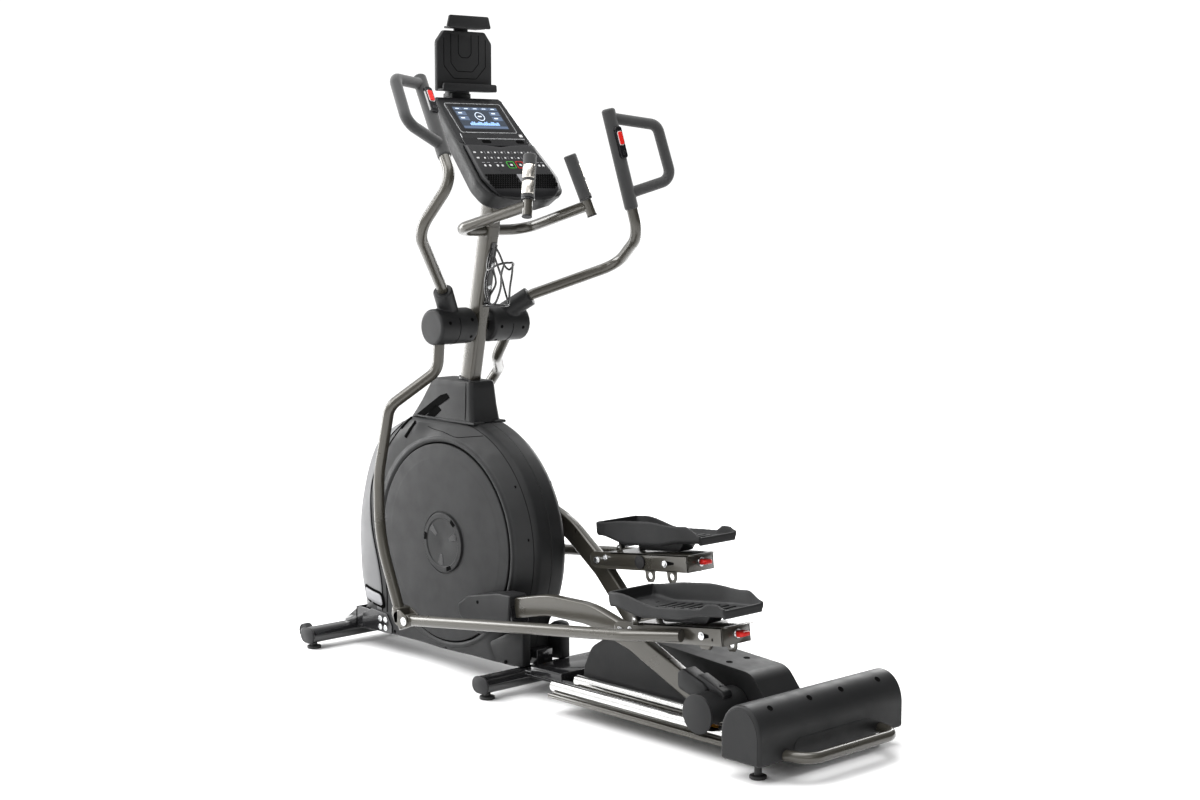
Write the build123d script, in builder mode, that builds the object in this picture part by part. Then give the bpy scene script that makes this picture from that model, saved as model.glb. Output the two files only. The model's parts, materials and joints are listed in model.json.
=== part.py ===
from build123d import *
import os
from math import atan2, cos, degrees, hypot, radians, sin, sqrt

# Elliptical trainer. Millimetres; +X to the user's right, +Y to the console end, +Z up.
# The origin is on the floor, under the middle of the whole machine.
os.makedirs("parts", exist_ok=True)

LEFT, RIGHT = -1, 1
SIDES = {"left": LEFT, "right": RIGHT}
RUN = 0.05    # radial clearance of a shaft in its bore
GAP = 0.4     # clearance between parts that sit side by side

# Crank, rollers and swing arms: one four-bar train on each side
CRANK_Y, CRANK_Z = 459, 385
CRANK_RADIUS = 254
CRANK_PHASE = {"left": 221.7, "right": 41.7}    # pin direction, from +Y towards +Z
ROLLER_Z = 115
ARM_REACH = 964                                 # roller axle to crank pin
PIVOT_REACH, PIVOT_ANGLE = 333, 23.4            # roller axle to pedal pivot, above the arm's line
LINK_LENGTH = 833                               # pedal pivot to swing foot
SWING_Y, SWING_Z = 420, 1027
SWING_LENGTH = 848                              # swing axle to swing foot

# Stations across the machine, as distances from its middle plane
ARM_X = 136
LINK_X = 250
PEDAL_X = 165
RAILS_X = (90, 178)
DISC_INNER, DISC_OUTER = 88, 99
SHROUD_X = 94
STABILISER_X = 245

# Tubes
TUBE = 16             # outer radius of the steel tubes
WALL = 2
AXLE_R = 10
RAIL_R, RAIL_Z = 15, 75
RAIL_FRONT, RAIL_REAR = -115, -858

# Feet and cross tubes
FRONT_Y, MID_Y, REAR_Y = 957, 120, -906
FOOT_X = 218
OVAL = (66, 46)
OVAL_Z = 43
STUD_R = 5

# Mast: a rounded box tube that leans back towards the user
MAST = (40, 58)
MAST_LEAN = -0.2
MAST_JOINT_Z, MAST_TOP_Z = 800, 1440


def mast_y(z):
    return 446 + MAST_LEAN * (z - 873)


def polar(origin, reach, angle):
    return origin[0] + reach * cos(radians(angle)), origin[1] + reach * sin(radians(angle))


def bearing_angle(start, end):
    return degrees(atan2(end[1] - start[1], end[0] - start[0]))


def solve_train(phase):
    """Places, as (y, z), and turns of the crank pin, roller, pedal pivot and swing foot."""
    pin = polar((CRANK_Y, CRANK_Z), CRANK_RADIUS, phase)
    roller = (pin[0] - sqrt(ARM_REACH**2 - (pin[1] - ROLLER_Z) ** 2), ROLLER_Z)
    arm_turn = bearing_angle(roller, pin)
    pivot = polar(roller, PIVOT_REACH, arm_turn + PIVOT_ANGLE)
    swing = (SWING_Y, SWING_Z)
    span = hypot(swing[0] - pivot[0], swing[1] - pivot[1])
    along = (LINK_LENGTH**2 - SWING_LENGTH**2 + span**2) / (2 * span)
    offset = degrees(atan2(sqrt(LINK_LENGTH**2 - along**2), along))
    foot = polar(pivot, LINK_LENGTH, bearing_angle(pivot, swing) - offset)
    return {
        "pin": pin,
        "roller": roller,
        "pivot": pivot,
        "foot": foot,
        "arm": arm_turn,
        "link": bearing_angle(pivot, foot),
        "swing": bearing_angle(swing, foot) + 90,
    }


TRAIN = {name: solve_train(phase) for name, phase in CRANK_PHASE.items()}


class Frame:
    """A side view frame: an origin in Y and Z, turned about X, on one side of the machine."""

    def __init__(self, side, origin, turn):
        self.side = side
        self.origin = origin
        self.turn = turn

    def point(self, x, along, up):
        c, s = cos(radians(self.turn)), sin(radians(self.turn))
        y = self.origin[0] + along * c - up * s
        z = self.origin[1] + along * s + up * c
        return (self.side * x, y, z)

    def points(self, *places):
        return [self.point(*place) for place in places]

    def plane(self, x):
        """A plane at distance x from the middle, its local axes running along and up."""
        c, s = cos(radians(self.turn)), sin(radians(self.turn))
        return Plane(origin=(self.side * x, *self.origin), x_dir=(0, c, s), z_dir=(1, 0, 0))


def swing_frame(name):
    return Frame(SIDES[name], (SWING_Y, SWING_Z), TRAIN[name]["swing"])


def link_frame(name):
    return Frame(SIDES[name], TRAIN[name]["pivot"], TRAIN[name]["link"])


def arm_frame(name):
    return Frame(SIDES[name], TRAIN[name]["roller"], TRAIN[name]["arm"])


def run_line(points, radii):
    """Straight runs joined by tangent arcs, as one path."""
    if len(points) == 2:
        Line(*points)
    else:
        FilletPolyline(*points, radius=radii)


def start_plane(points, x_dir=None):
    heading = Vector(*points[1]) - Vector(*points[0])
    return Plane(origin=points[0], x_dir=x_dir, z_dir=heading)


def sweep_round(points, radii, outer, wall=0, mode=Mode.ADD):
    """A round tube, hollow when it has a wall, added to the part being built."""
    with BuildLine() as path:
        run_line(points, radii)
    with BuildSketch(start_plane(points)) as section:
        Circle(outer)
        if wall:
            Circle(outer - wall, mode=Mode.SUBTRACT)
    sweep(section.sketch, path=path.line, mode=mode)


def sweep_box(points, radii, width, height, wall):
    """A rectangular tube whose width stays along X."""
    with BuildLine() as path:
        run_line(points, radii)
    with BuildSketch(start_plane(points, (1, 0, 0))) as section:
        RectangleRounded(width, height, 5)
        Rectangle(width - 2 * wall, height - 2 * wall, mode=Mode.SUBTRACT)
    sweep(section.sketch, path=path.line)


def disc_between(frame, x0, x1, radius, along=0, up=0, mode=Mode.ADD):
    """A cylinder along X from distance x0 to x1, at a place in a side frame."""
    with BuildSketch(frame.plane(x0)) as section:
        with Locations((along, up)):
            Circle(radius)
    extrude(section.sketch, amount=frame.side * (x1 - x0), mode=mode)


def plate_between(frame, x0, x1, outline, mode=Mode.ADD):
    """A flat plate with a polygon outline in a side frame, from distance x0 to x1."""
    with BuildSketch(frame.plane(x0)) as section:
        Polygon(*outline, align=None)
    extrude(section.sketch, amount=frame.side * (x1 - x0), mode=mode)


def block(low, high, mode=Mode.ADD):
    """A box between two corners."""
    size = [b - a for a, b in zip(low, high)]
    centre = [(a + b) / 2 for a, b in zip(low, high)]
    with Locations(tuple(centre)):
        Box(*size, mode=mode)


MIDDLE = Frame(RIGHT, (0, 0), 0)
CRANK = Frame(RIGHT, (CRANK_Y, CRANK_Z), 0)


def foot_solid(x, y, top):
    """A levelling foot: rubber pad, neck and stud, its sole on the floor."""
    pad_r, pad_h, neck_r, stud_h = 22, 10, 9, 14
    levels = ((0, pad_r, pad_h), (pad_h, neck_r, top - GAP - pad_h), (top - GAP, STUD_R, stud_h))
    for z, radius, height in levels:
        with BuildSketch(Plane.XY.offset(z)) as section:
            with Locations((x, y)):
                Circle(radius)
        extrude(section.sketch, amount=height)


def oval_tube(y):
    """A hollow oval cross tube with a stud hole near each end."""
    plane = Plane(origin=(-STABILISER_X + 6, y, OVAL_Z), x_dir=(0, 1, 0), z_dir=(1, 0, 0))
    with BuildSketch(plane) as section:
        RectangleRounded(*OVAL, OVAL[1] / 2 - 1)
        RectangleRounded(OVAL[0] - 6, OVAL[1] - 6, OVAL[1] / 2 - 4, mode=Mode.SUBTRACT)
    extrude(section.sketch, amount=2 * STABILISER_X - 12)
    with BuildSketch(Plane.XY.offset(OVAL_Z - OVAL[1] / 2 - 1)) as holes:
        with Locations((-FOOT_X, y), (FOOT_X, y)):
            Circle(STUD_R + RUN)
    extrude(holes.sketch, amount=6, mode=Mode.SUBTRACT)


# ---------------------------------------------------------------- fixed frame
SPINE = (60, 44)
SPINE_Z = (64, 108)
POST_BASE_Z = 100
HOUSING_R, BEARING_R, CRANK_AXLE_R = 33, 26, 12.5
FLYWHEEL_Y, FLYWHEEL_Z, FLYWHEEL_R = 735, 330, 108
FLYWHEEL_X = (-70, -32)
STUB_R = 8
BELT_X = (34, 48)
PULLEY_R, SMALL_PULLEY_R = 150, 28
SIDE_PLATES_X = (-79, 56)


def mast_plane(z):
    return Plane(origin=(0, mast_y(z), z), x_dir=(1, 0, 0), z_dir=(0, MAST_LEAN, 1))


def mast_run(z0, z1):
    return (z1 - z0) * sqrt(1 + MAST_LEAN**2)


with BuildPart() as main_frame:
    oval_tube(MID_Y)
    block((-SPINE[0] / 2, MID_Y, SPINE_Z[0]), (SPINE[0] / 2, 905, SPINE_Z[1]))
    block((-100, RAIL_FRONT + 3, 50), (100, MID_Y, 58))
    for x in (-96, 90):
        block((x, RAIL_FRONT + 3, 58), (x + 6, MID_Y - 20, 66))
    block((-24, CRANK_Y - 24, SPINE_Z[1]), (24, CRANK_Y + 24, CRANK_Z))
    with BuildSketch(mast_plane(POST_BASE_Z)):
        RectangleRounded(*MAST, 11)
    extrude(amount=mast_run(POST_BASE_Z, MAST_JOINT_Z - 1))
    with BuildSketch(mast_plane(MAST_JOINT_Z - 1)):
        RectangleRounded(MAST[0] - 7, MAST[1] - 7, 8)
    extrude(amount=60)
    disc_between(CRANK, -28, 28, HOUSING_R)
    disc_between(CRANK, -29, 29, BEARING_R + RUN, mode=Mode.SUBTRACT)
    block((SIDE_PLATES_X[0], 700, 84), (SIDE_PLATES_X[1] + 4, 770, SPINE_Z[1]))
    for x in SIDE_PLATES_X:
        axle_side = [(695, 90), (775, 90), (758, 350), (712, 350)]
        plate_between(MIDDLE, x, x + 4, axle_side)
    disc_between(Frame(RIGHT, (FLYWHEEL_Y, FLYWHEEL_Z), 0), SIDE_PLATES_X[0], SIDE_PLATES_X[1] + 4, STUB_R)
main_frame.part.label = "main_frame"
export_step(main_frame.part, "parts/main_frame.step")

BRACKET_X = 88
BRACKET_Y = (832, FRONT_Y)
WHEEL_Y, WHEEL_R, WHEEL_X = 1016, 24, 205
WHEEL_AXLE_R = 5
with BuildPart() as front_stabiliser:
    oval_tube(FRONT_Y)
    for side in SIDES.values():
        outline = [(BRACKET_Y[0], 62), (BRACKET_Y[0], 122), (905, 122), (FRONT_Y + 20, 66), (FRONT_Y - 20, 60)]
        plate_between(Frame(side, (0, 0), 0), BRACKET_X - 6, BRACKET_X, outline)
    block((-BRACKET_X, 908, 64), (BRACKET_X, 914, 120))
    block((-BRACKET_X, BRACKET_Y[0], 57), (BRACKET_X, FRONT_Y, 63))
    for side in SIDES.values():
        axle = Frame(side, (WHEEL_Y, OVAL_Z), 0)
        for x in (WHEEL_X - 17, WHEEL_X + 13):
            plate_between(Frame(side, (0, 0), 0), x, x + 4,
                          [(FRONT_Y + 20, 30), (FRONT_Y + 20, 56), (WHEEL_Y + 4, 53), (WHEEL_Y + 8, 43),
                           (WHEEL_Y + 4, 33)])
        disc_between(axle, WHEEL_X - 17, WHEEL_X + 17, WHEEL_AXLE_R)
front_stabiliser.part.label = "front_stabiliser"
export_step(front_stabiliser.part, "parts/front_stabiliser.step")

with BuildPart() as stabiliser_caps:
    for y in (FRONT_Y, MID_Y):
        for side in SIDES.values():
            start = side * (STABILISER_X - 6 + GAP / 4)
            with BuildSketch(Plane(origin=(start, y, OVAL_Z), x_dir=(0, 1, 0), z_dir=(1, 0, 0))):
                RectangleRounded(OVAL[0] + 3, OVAL[1] + 3, OVAL[1] / 2)
            extrude(amount=side * 8)
    fillet(stabiliser_caps.edges().group_by(Axis.X)[0], 3)
    fillet(stabiliser_caps.edges().group_by(Axis.X)[-1], 3)
stabiliser_caps.part.label = "stabiliser_caps"
export_step(stabiliser_caps.part, "parts/stabiliser_caps.step")

with BuildPart() as front_feet:
    for side in SIDES.values():
        foot_solid(side * FOOT_X, FRONT_Y, OVAL_Z - OVAL[1] / 2)
front_feet.part.label = "front_feet"
export_step(front_feet.part, "parts/front_feet.step")

REAR_FRAME_Z = 46
for name, side in SIDES.items():
    with BuildPart() as mid_foot:
        foot_solid(side * FOOT_X, MID_Y, OVAL_Z - OVAL[1] / 2)
    mid_foot.part.label = f"mid_foot_{name}"
    export_step(mid_foot.part, f"parts/mid_foot_{name}.step")

    with BuildPart() as rear_foot:
        foot_solid(side * FOOT_X, REAR_Y, REAR_FRAME_Z)
    rear_foot.part.label = f"rear_foot_{name}"
    export_step(rear_foot.part, f"parts/rear_foot_{name}.step")

with BuildPart() as transport_wheels:
    for side in SIDES.values():
        axle = Frame(side, (WHEEL_Y, OVAL_Z), 0)
        disc_between(axle, WHEEL_X - 12, WHEEL_X + 12, WHEEL_R)
    for side in SIDES.values():
        axle = Frame(side, (WHEEL_Y, OVAL_Z), 0)
        disc_between(axle, WHEEL_X - 13, WHEEL_X + 13, WHEEL_AXLE_R + RUN, mode=Mode.SUBTRACT)
transport_wheels.part.label = "transport_wheels"
export_step(transport_wheels.part, "parts/transport_wheels.step")

# ---------------------------------------------------------------- rails and rear end
HANDLE_R = 14
HANDLE_Z = 62
with BuildPart() as rail_frame:
    for side in SIDES.values():
        edge = Frame(side, (0, 0), 0)
        plate_between(edge, 74, 200, [(RAIL_FRONT, REAR_FRAME_Z), (RAIL_REAR, REAR_FRAME_Z),
                                      (RAIL_REAR, 51), (RAIL_FRONT, 51)])
        plate_between(edge, 196, 200, [(RAIL_FRONT, 50), (RAIL_REAR, 50), (RAIL_REAR, 58), (RAIL_FRONT, 58)])
        for x in RAILS_X:
            plate_between(edge, x - 4, x + 4, [(RAIL_FRONT, 50), (RAIL_REAR, 50), (RAIL_REAR, 59.6),
                                               (RAIL_FRONT, 59.6)])
    for y in (-160, -500, -800):
        block((-80, y - 20, REAR_FRAME_Z), (80, y + 20, 51))
    block((-255, -930, REAR_FRAME_Z), (255, RAIL_REAR - 1, 88))
    block((-200, RAIL_REAR - 2, REAR_FRAME_Z), (200, RAIL_REAR + 1, 51))
    sweep_round([(-190, -920, HANDLE_Z), (-165, -1026, HANDLE_Z), (165, -1026, HANDLE_Z),
                 (190, -920, HANDLE_Z)], [50, 50], HANDLE_R, WALL)
    with BuildSketch(Plane.XY.offset(REAR_FRAME_Z - 1)):
        with Locations((-FOOT_X, REAR_Y), (FOOT_X, REAR_Y)):
            Circle(STUD_R + RUN)
    extrude(amount=20, mode=Mode.SUBTRACT)
rail_frame.part.label = "rail_frame"
export_step(rail_frame.part, "parts/rail_frame.step")

with BuildPart() as rail_tubes:
    plane = Plane(origin=(0, RAIL_FRONT, RAIL_Z), x_dir=(1, 0, 0), z_dir=(0, -1, 0))
    with BuildSketch(plane):
        with Locations(*[(side * x, 0) for side in SIDES.values() for x in RAILS_X]):
            Circle(RAIL_R)
            Circle(RAIL_R - WALL, mode=Mode.SUBTRACT)
    extrude(amount=RAIL_FRONT - RAIL_REAR)
rail_tubes.part.label = "rail_tubes"
export_step(rail_tubes.part, "parts/rail_tubes.step")

RAMP_X = 69
SHELL = 3
RAMP_OUTLINE = [(-116, 54), (-120, 110), (-150, 172), (-215, 212), (-330, 232), (-745, 205), (-800, 140), (-822, 54)]
RAMP_INSIDE = [(-120, 53), (-124, 109), (-153, 169), (-217, 208), (-330, 228), (-743, 201), (-796, 138), (-818, 53)]
with BuildPart() as ramp_cover:
    plate_between(MIDDLE, -RAMP_X, RAMP_X, RAMP_OUTLINE)
    fillet(ramp_cover.edges().filter_by(Axis.X).group_by(Axis.Z)[-3:], 30)
    plate_between(MIDDLE, -RAMP_X + SHELL, RAMP_X - SHELL, RAMP_INSIDE, mode=Mode.SUBTRACT)
ramp_cover.part.label = "ramp_cover"
export_step(ramp_cover.part, "parts/ramp_cover.step")

REAR_COVER_X = 275
REAR_COVER_Y = (-831, -962)
REAR_COVER_Z = (45, 190)


def arch(inset):
    """The rear cover's side profile, made smaller all round by an inset."""
    front, rear, top = REAR_COVER_Y[0] - inset, REAR_COVER_Y[1] + inset, REAR_COVER_Z[1] - inset
    low = REAR_COVER_Z[0] - (1 if inset else 0)
    with BuildLine() as outline:
        Line((front, low), (front, 110))
        ThreePointArc((front, 110), (-872, top), (rear + 14, 120))
        Line((rear + 14, 120), (rear, low))
        Line((rear, low), (front, low))
    make_face(outline.line)


with BuildPart() as rear_cover:
    with BuildSketch(Plane.YZ.offset(-REAR_COVER_X)):
        arch(0)
    extrude(amount=2 * REAR_COVER_X)
    with BuildSketch(Plane.YZ.offset(-REAR_COVER_X + SHELL)):
        arch(SHELL)
    extrude(amount=2 * (REAR_COVER_X - SHELL), mode=Mode.SUBTRACT)
    for side in SIDES.values():
        x0, x1 = sorted((side * 155, side * 205))
        block((x0, -970, 40), (x1, -925, HANDLE_Z + HANDLE_R + 1), mode=Mode.SUBTRACT)
        x0, x1 = sorted((side * 68, side * 202))
        block((x0, -850, 40), (x1, -825, 96), mode=Mode.SUBTRACT)
rear_cover.part.label = "rear_cover"
export_step(rear_cover.part, "parts/rear_cover.step")

# ---------------------------------------------------------------- shroud
SHROUD_R, RIM_R, DISC_R = 370, 315, 293
BAND_X = 50
COWL_Z = (742, 862)
SHROUD_LOW = 62


def shroud_outline():
    """Side outline: round rear, flat top under the cowl, curved nose and bracket notch."""
    shoulder = CRANK_Y - sqrt(SHROUD_R**2 - (COWL_Z[0] - 2 - CRANK_Z) ** 2)
    low_z = 175
    low_y = CRANK_Y - sqrt(SHROUD_R**2 - (low_z - CRANK_Z) ** 2)
    with BuildLine() as outline:
        Polyline((160, SHROUD_LOW), (160, 69), (114, 69), (114, low_z), (low_y, low_z))
        ThreePointArc((low_y, low_z), (CRANK_Y - SHROUD_R, CRANK_Z), (shoulder, COWL_Z[0] - 2))
        Line((shoulder, COWL_Z[0] - 2), (690, COWL_Z[0] - 2))
        Spline((690, COWL_Z[0] - 2), (860, 640), (945, 440), (952, 250), (925, 126),
               tangents=[(1, -0.35), (-0.25, -1)])
        Polyline((925, 126), (BRACKET_Y[0] - 4, 126), (BRACKET_Y[0] - 4, SHROUD_LOW), (160, SHROUD_LOW))
    make_face(outline.line)


with BuildPart() as shroud_right:
    with BuildSketch(Plane.YZ):
        shroud_outline()
    extrude(amount=SHROUD_X)
    # the shoulder: a cone that narrows the rear and top towards the disc
    with BuildSketch(Plane(origin=(0, CRANK_Y, CRANK_Z), x_dir=(1, 0, 0), z_dir=(0, -1, 0))):
        Polygon((BAND_X, SHROUD_R), (SHROUD_X, RIM_R), (SHROUD_X + 5, RIM_R), (SHROUD_X + 5, 420), (BAND_X, 420),
                align=None)
    revolve(axis=Axis((0, CRANK_Y, CRANK_Z), (1, 0, 0)), revolution_arc=140, mode=Mode.SUBTRACT)
    # the nose, rounded in plan
    with BuildSketch(Plane.XY):
        with BuildLine():
            ThreePointArc((SHROUD_X, 800), (80, 900), (40, 960))
            Polyline((40, 960), (120, 960), (120, 800), (SHROUD_X, 800))
        make_face()
    extrude(amount=900, mode=Mode.SUBTRACT)
    # the hollow: a wide middle, and a smaller space behind each disc recess
    with BuildSketch(Plane.YZ):
        with Locations((CRANK_Y, CRANK_Z)):
            Circle(SHROUD_R - 4)
        Polygon((119.6, 40), (829, 40), (829, 122), (822, 132), (898, 132), (920, 250), (912, 430), (835, 620),
                (690, 734), (CRANK_Y, 734), (CRANK_Y, 400), (170, 170), (119.6, 170), align=None)
        with Locations((509, 387)):
            Rectangle(832, 694, mode=Mode.INTERSECT)
    extrude(amount=BAND_X - 5, mode=Mode.SUBTRACT)
    with BuildSketch(Plane.YZ.offset(BAND_X - 6)):
        with Locations((CRANK_Y, CRANK_Z)):
            Circle(RIM_R - 15)
        Polygon((420, 72), (800, 72), (815, 140), (850, 250), (845, 430), (780, 590), (680, 690), (CRANK_Y, 690),
                (CRANK_Y, 300), align=None)
    extrude(amount=81 - BAND_X + 6, mode=Mode.SUBTRACT)
    block((-1, 436, COWL_Z[0] - 12), (MAST[0] / 2 + 3, 510, COWL_Z[0] + 2), mode=Mode.SUBTRACT)
    disc_between(CRANK, 84, SHROUD_X + 1, DISC_R + 5, mode=Mode.SUBTRACT)
    disc_between(CRANK, 70, SHROUD_X, 40, mode=Mode.SUBTRACT)
shroud_right.part.label = "shroud_right"
export_step(shroud_right.part, "parts/shroud_right.step")

with BuildPart() as shroud_left:
    mirror(shroud_right.part, about=Plane.YZ)
shroud_left.part.label = "shroud_left"
export_step(shroud_left.part, "parts/shroud_left.step")

with BuildPart() as mast_cowl:
    low = Plane.XY.offset(COWL_Z[0])
    high = Plane.XY.offset(COWL_Z[1])
    with BuildSketch(low):
        with Locations((0, 518)):
            RectangleRounded(116, 296, 14)
    with BuildSketch(high):
        with Locations((0, 482)):
            RectangleRounded(96, 188, 14)
    loft()
    with BuildSketch(Plane.XY.offset(COWL_Z[0] - 1)):
        with Locations((0, 518)):
            RectangleRounded(106, 286, 12)
    with BuildSketch(Plane.XY.offset(COWL_Z[1] - 4)):
        with Locations((0, 482)):
            RectangleRounded(88, 180, 12)
    loft(mode=Mode.SUBTRACT)
    with BuildSketch(mast_plane(COWL_Z[1] - 20)):
        RectangleRounded(MAST[0] + 2, MAST[1] + 2, 12)
    extrude(amount=40, mode=Mode.SUBTRACT)
mast_cowl.part.label = "mast_cowl"
export_step(mast_cowl.part, "parts/mast_cowl.step")

# ---------------------------------------------------------------- drive
with BuildPart() as crank_bearings:
    for x in (-28, 14):
        disc_between(CRANK, x, x + 14, BEARING_R)
    disc_between(CRANK, -30, 30, CRANK_AXLE_R + RUN, mode=Mode.SUBTRACT)
crank_bearings.part.label = "crank_bearings"
export_step(crank_bearings.part, "parts/crank_bearings.step")

CRANK_ARM_X = (86.5, 94.5)
PIN_R = 11
PIN_END_X = 158
with BuildPart() as crank_axle:
    disc_between(CRANK, -CRANK_ARM_X[1], CRANK_ARM_X[1], CRANK_AXLE_R)
    for name, side in SIDES.items():
        bar = Frame(side, (CRANK_Y, CRANK_Z), CRANK_PHASE[name])
        plate_between(bar, *CRANK_ARM_X, [(-24, -20), (-24, 20), (CRANK_RADIUS + 16, 20), (CRANK_RADIUS + 16, -20)])
        disc_between(bar, CRANK_ARM_X[1], PIN_END_X, PIN_R, along=CRANK_RADIUS)
crank_axle.part.label = "crank_axle"
export_step(crank_axle.part, "parts/crank_axle.step")

HUB_CAP_R, HUB_CAP_H = 95, 6
with BuildPart() as crank_discs:
    for name, side in SIDES.items():
        bar = Frame(side, (CRANK_Y, CRANK_Z), CRANK_PHASE[name])
        disc_between(bar, DISC_INNER, DISC_OUTER, DISC_R)
        disc_between(bar, DISC_OUTER, DISC_OUTER + HUB_CAP_H, HUB_CAP_R)
        plate_between(bar, DISC_INNER - 1, CRANK_ARM_X[1] + GAP,
                      [(-25, -21), (-25, 21), (CRANK_RADIUS + 17, 21), (CRANK_RADIUS + 17, -21)], mode=Mode.SUBTRACT)
        disc_between(bar, DISC_INNER, DISC_OUTER + 1, PIN_R + GAP, along=CRANK_RADIUS, mode=Mode.SUBTRACT)
crank_discs.part.label = "crank_discs"
export_step(crank_discs.part, "parts/crank_discs.step")

with BuildPart() as drive_pulley:
    disc_between(CRANK, BELT_X[0] - 2, BELT_X[1] + 2, PULLEY_R - 12)
    disc_between(CRANK, *BELT_X, PULLEY_R)
    disc_between(CRANK, BELT_X[0] - 3, BELT_X[1] + 3, CRANK_AXLE_R + RUN, mode=Mode.SUBTRACT)
    with BuildSketch(Plane.YZ.offset(BELT_X[0] - 3)):
        with Locations((CRANK_Y, CRANK_Z)):
            with PolarLocations(85, 6):
                Circle(26)
    extrude(amount=BELT_X[1] - BELT_X[0] + 6, mode=Mode.SUBTRACT)
drive_pulley.part.label = "drive_pulley"
export_step(drive_pulley.part, "parts/drive_pulley.step")


def belt_loop(extra):
    """The outline of the belt round both pulleys, that much outside their rims."""
    with Locations((CRANK_Y, CRANK_Z)):
        Circle(PULLEY_R + extra)
    with Locations((FLYWHEEL_Y, FLYWHEEL_Z)):
        Circle(SMALL_PULLEY_R + extra)
    make_hull()


with BuildPart() as drive_belt:
    with BuildSketch(Plane.YZ.offset(BELT_X[0])):
        belt_loop(3 + GAP)
    extrude(amount=BELT_X[1] - BELT_X[0])
    with BuildSketch(Plane.YZ.offset(BELT_X[0] - 1)):
        belt_loop(GAP)
    extrude(amount=BELT_X[1] - BELT_X[0] + 2, mode=Mode.SUBTRACT)
drive_belt.part.label = "drive_belt"
export_step(drive_belt.part, "parts/drive_belt.step")

WHEEL = Frame(RIGHT, (FLYWHEEL_Y, FLYWHEEL_Z), 0)
with BuildPart() as flywheel:
    disc_between(WHEEL, *FLYWHEEL_X, FLYWHEEL_R)
    disc_between(WHEEL, FLYWHEEL_X[1], BELT_X[0], 16)
    disc_between(WHEEL, *BELT_X, SMALL_PULLEY_R)
    disc_between(WHEEL, FLYWHEEL_X[0] - 1, BELT_X[1] + 1, STUB_R + RUN, mode=Mode.SUBTRACT)
flywheel.part.label = "flywheel"
export_step(flywheel.part, "parts/flywheel.step")

with BuildPart() as magnet_brake:
    block((FLYWHEEL_X[0] - 8, FLYWHEEL_Y - 45, FLYWHEEL_Z + 82), (FLYWHEEL_X[1] + 8, FLYWHEEL_Y + 45, FLYWHEEL_Z + 126))
    block((FLYWHEEL_X[0] - 2, FLYWHEEL_Y - 46, FLYWHEEL_Z + 81), (FLYWHEEL_X[1] + 2, FLYWHEEL_Y + 46, FLYWHEEL_Z + 112),
          mode=Mode.SUBTRACT)
magnet_brake.part.label = "magnet_brake"
export_step(magnet_brake.part, "parts/magnet_brake.step")

with BuildPart() as control_board:
    block((24, 610, 520), (30, 730, 650))
    block((30, 630, 540), (44, 670, 580))
    block((30, 685, 590), (50, 720, 630))
control_board.part.label = "control_board"
export_step(control_board.part, "parts/control_board.step")

with BuildPart() as incline_motor:
    with BuildSketch(Plane(origin=(0, -260, 120), x_dir=(1, 0, 0), z_dir=(0, -1, 0))):
        Circle(32)
    extrude(amount=140)
    block((-38, -430, 82), (38, -400, 158))
    with BuildSketch(Plane(origin=(0, -430, 120), x_dir=(1, 0, 0), z_dir=(0, -1, 0))):
        Circle(9)
    extrude(amount=300)
incline_motor.part.label = "incline_motor"
export_step(incline_motor.part, "parts/incline_motor.step")

# ---------------------------------------------------------------- mast, horn bar and console
AXLE = 15          # radius of the swing axle
AXLE_END_X = 163
HORN_Y, HORN_Z = 358, 1304
GRIP_LOW = (122, 52, 1350)
GRIP_HIGH = (75, 92, 1514)
GRIP_CORE_R, GRIP_R = 14, 18.5


def mirrored(points):
    """A path that starts on the left side and ends on the right."""
    return [(-x, y, z) for x, y, z in points] + [point for point in reversed(points)]


with BuildPart() as mast:
    with BuildSketch(mast_plane(MAST_JOINT_Z)):
        RectangleRounded(*MAST, 11)
        RectangleRounded(MAST[0] - 6, MAST[1] - 6, 8.5, mode=Mode.SUBTRACT)
    extrude(amount=mast_run(MAST_JOINT_Z, MAST_TOP_Z))
    disc_between(Frame(RIGHT, (SWING_Y, SWING_Z), 0), -AXLE_END_X, AXLE_END_X, AXLE)
    disc_between(Frame(RIGHT, (HORN_Y, HORN_Z), 0), -30, 30, TUBE + RUN, mode=Mode.SUBTRACT)
mast.part.label = "mast"
export_step(mast.part, "parts/mast.step")

with BuildPart() as horn_bar:
    horn = mirrored([(114, 59, 1378), (133, HORN_Y, HORN_Z)])
    sweep_round(horn, [60, 60], TUBE, WALL)
    for side in SIDES.values():
        low = (side * GRIP_LOW[0], *GRIP_LOW[1:])
        high = (side * GRIP_HIGH[0], *GRIP_HIGH[1:])
        sweep_round([low, high], None, GRIP_CORE_R)
horn_bar.part.label = "horn_bar"
export_step(horn_bar.part, "parts/horn_bar.step")

with BuildPart() as horn_grips:
    for side in SIDES.values():
        low, high = Vector(side * GRIP_LOW[0], *GRIP_LOW[1:]), Vector(side * GRIP_HIGH[0], *GRIP_HIGH[1:])
        axis = (high - low).normalized()
        sweep_round([tuple(low + axis * 50), tuple(high + axis * 5)], None, GRIP_R)
        sweep_round([tuple(low + axis * 49), tuple(high + axis * 0.2)], None, GRIP_CORE_R + RUN, mode=Mode.SUBTRACT)
horn_grips.part.label = "horn_grips"
export_step(horn_grips.part, "parts/horn_grips.step")

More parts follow.
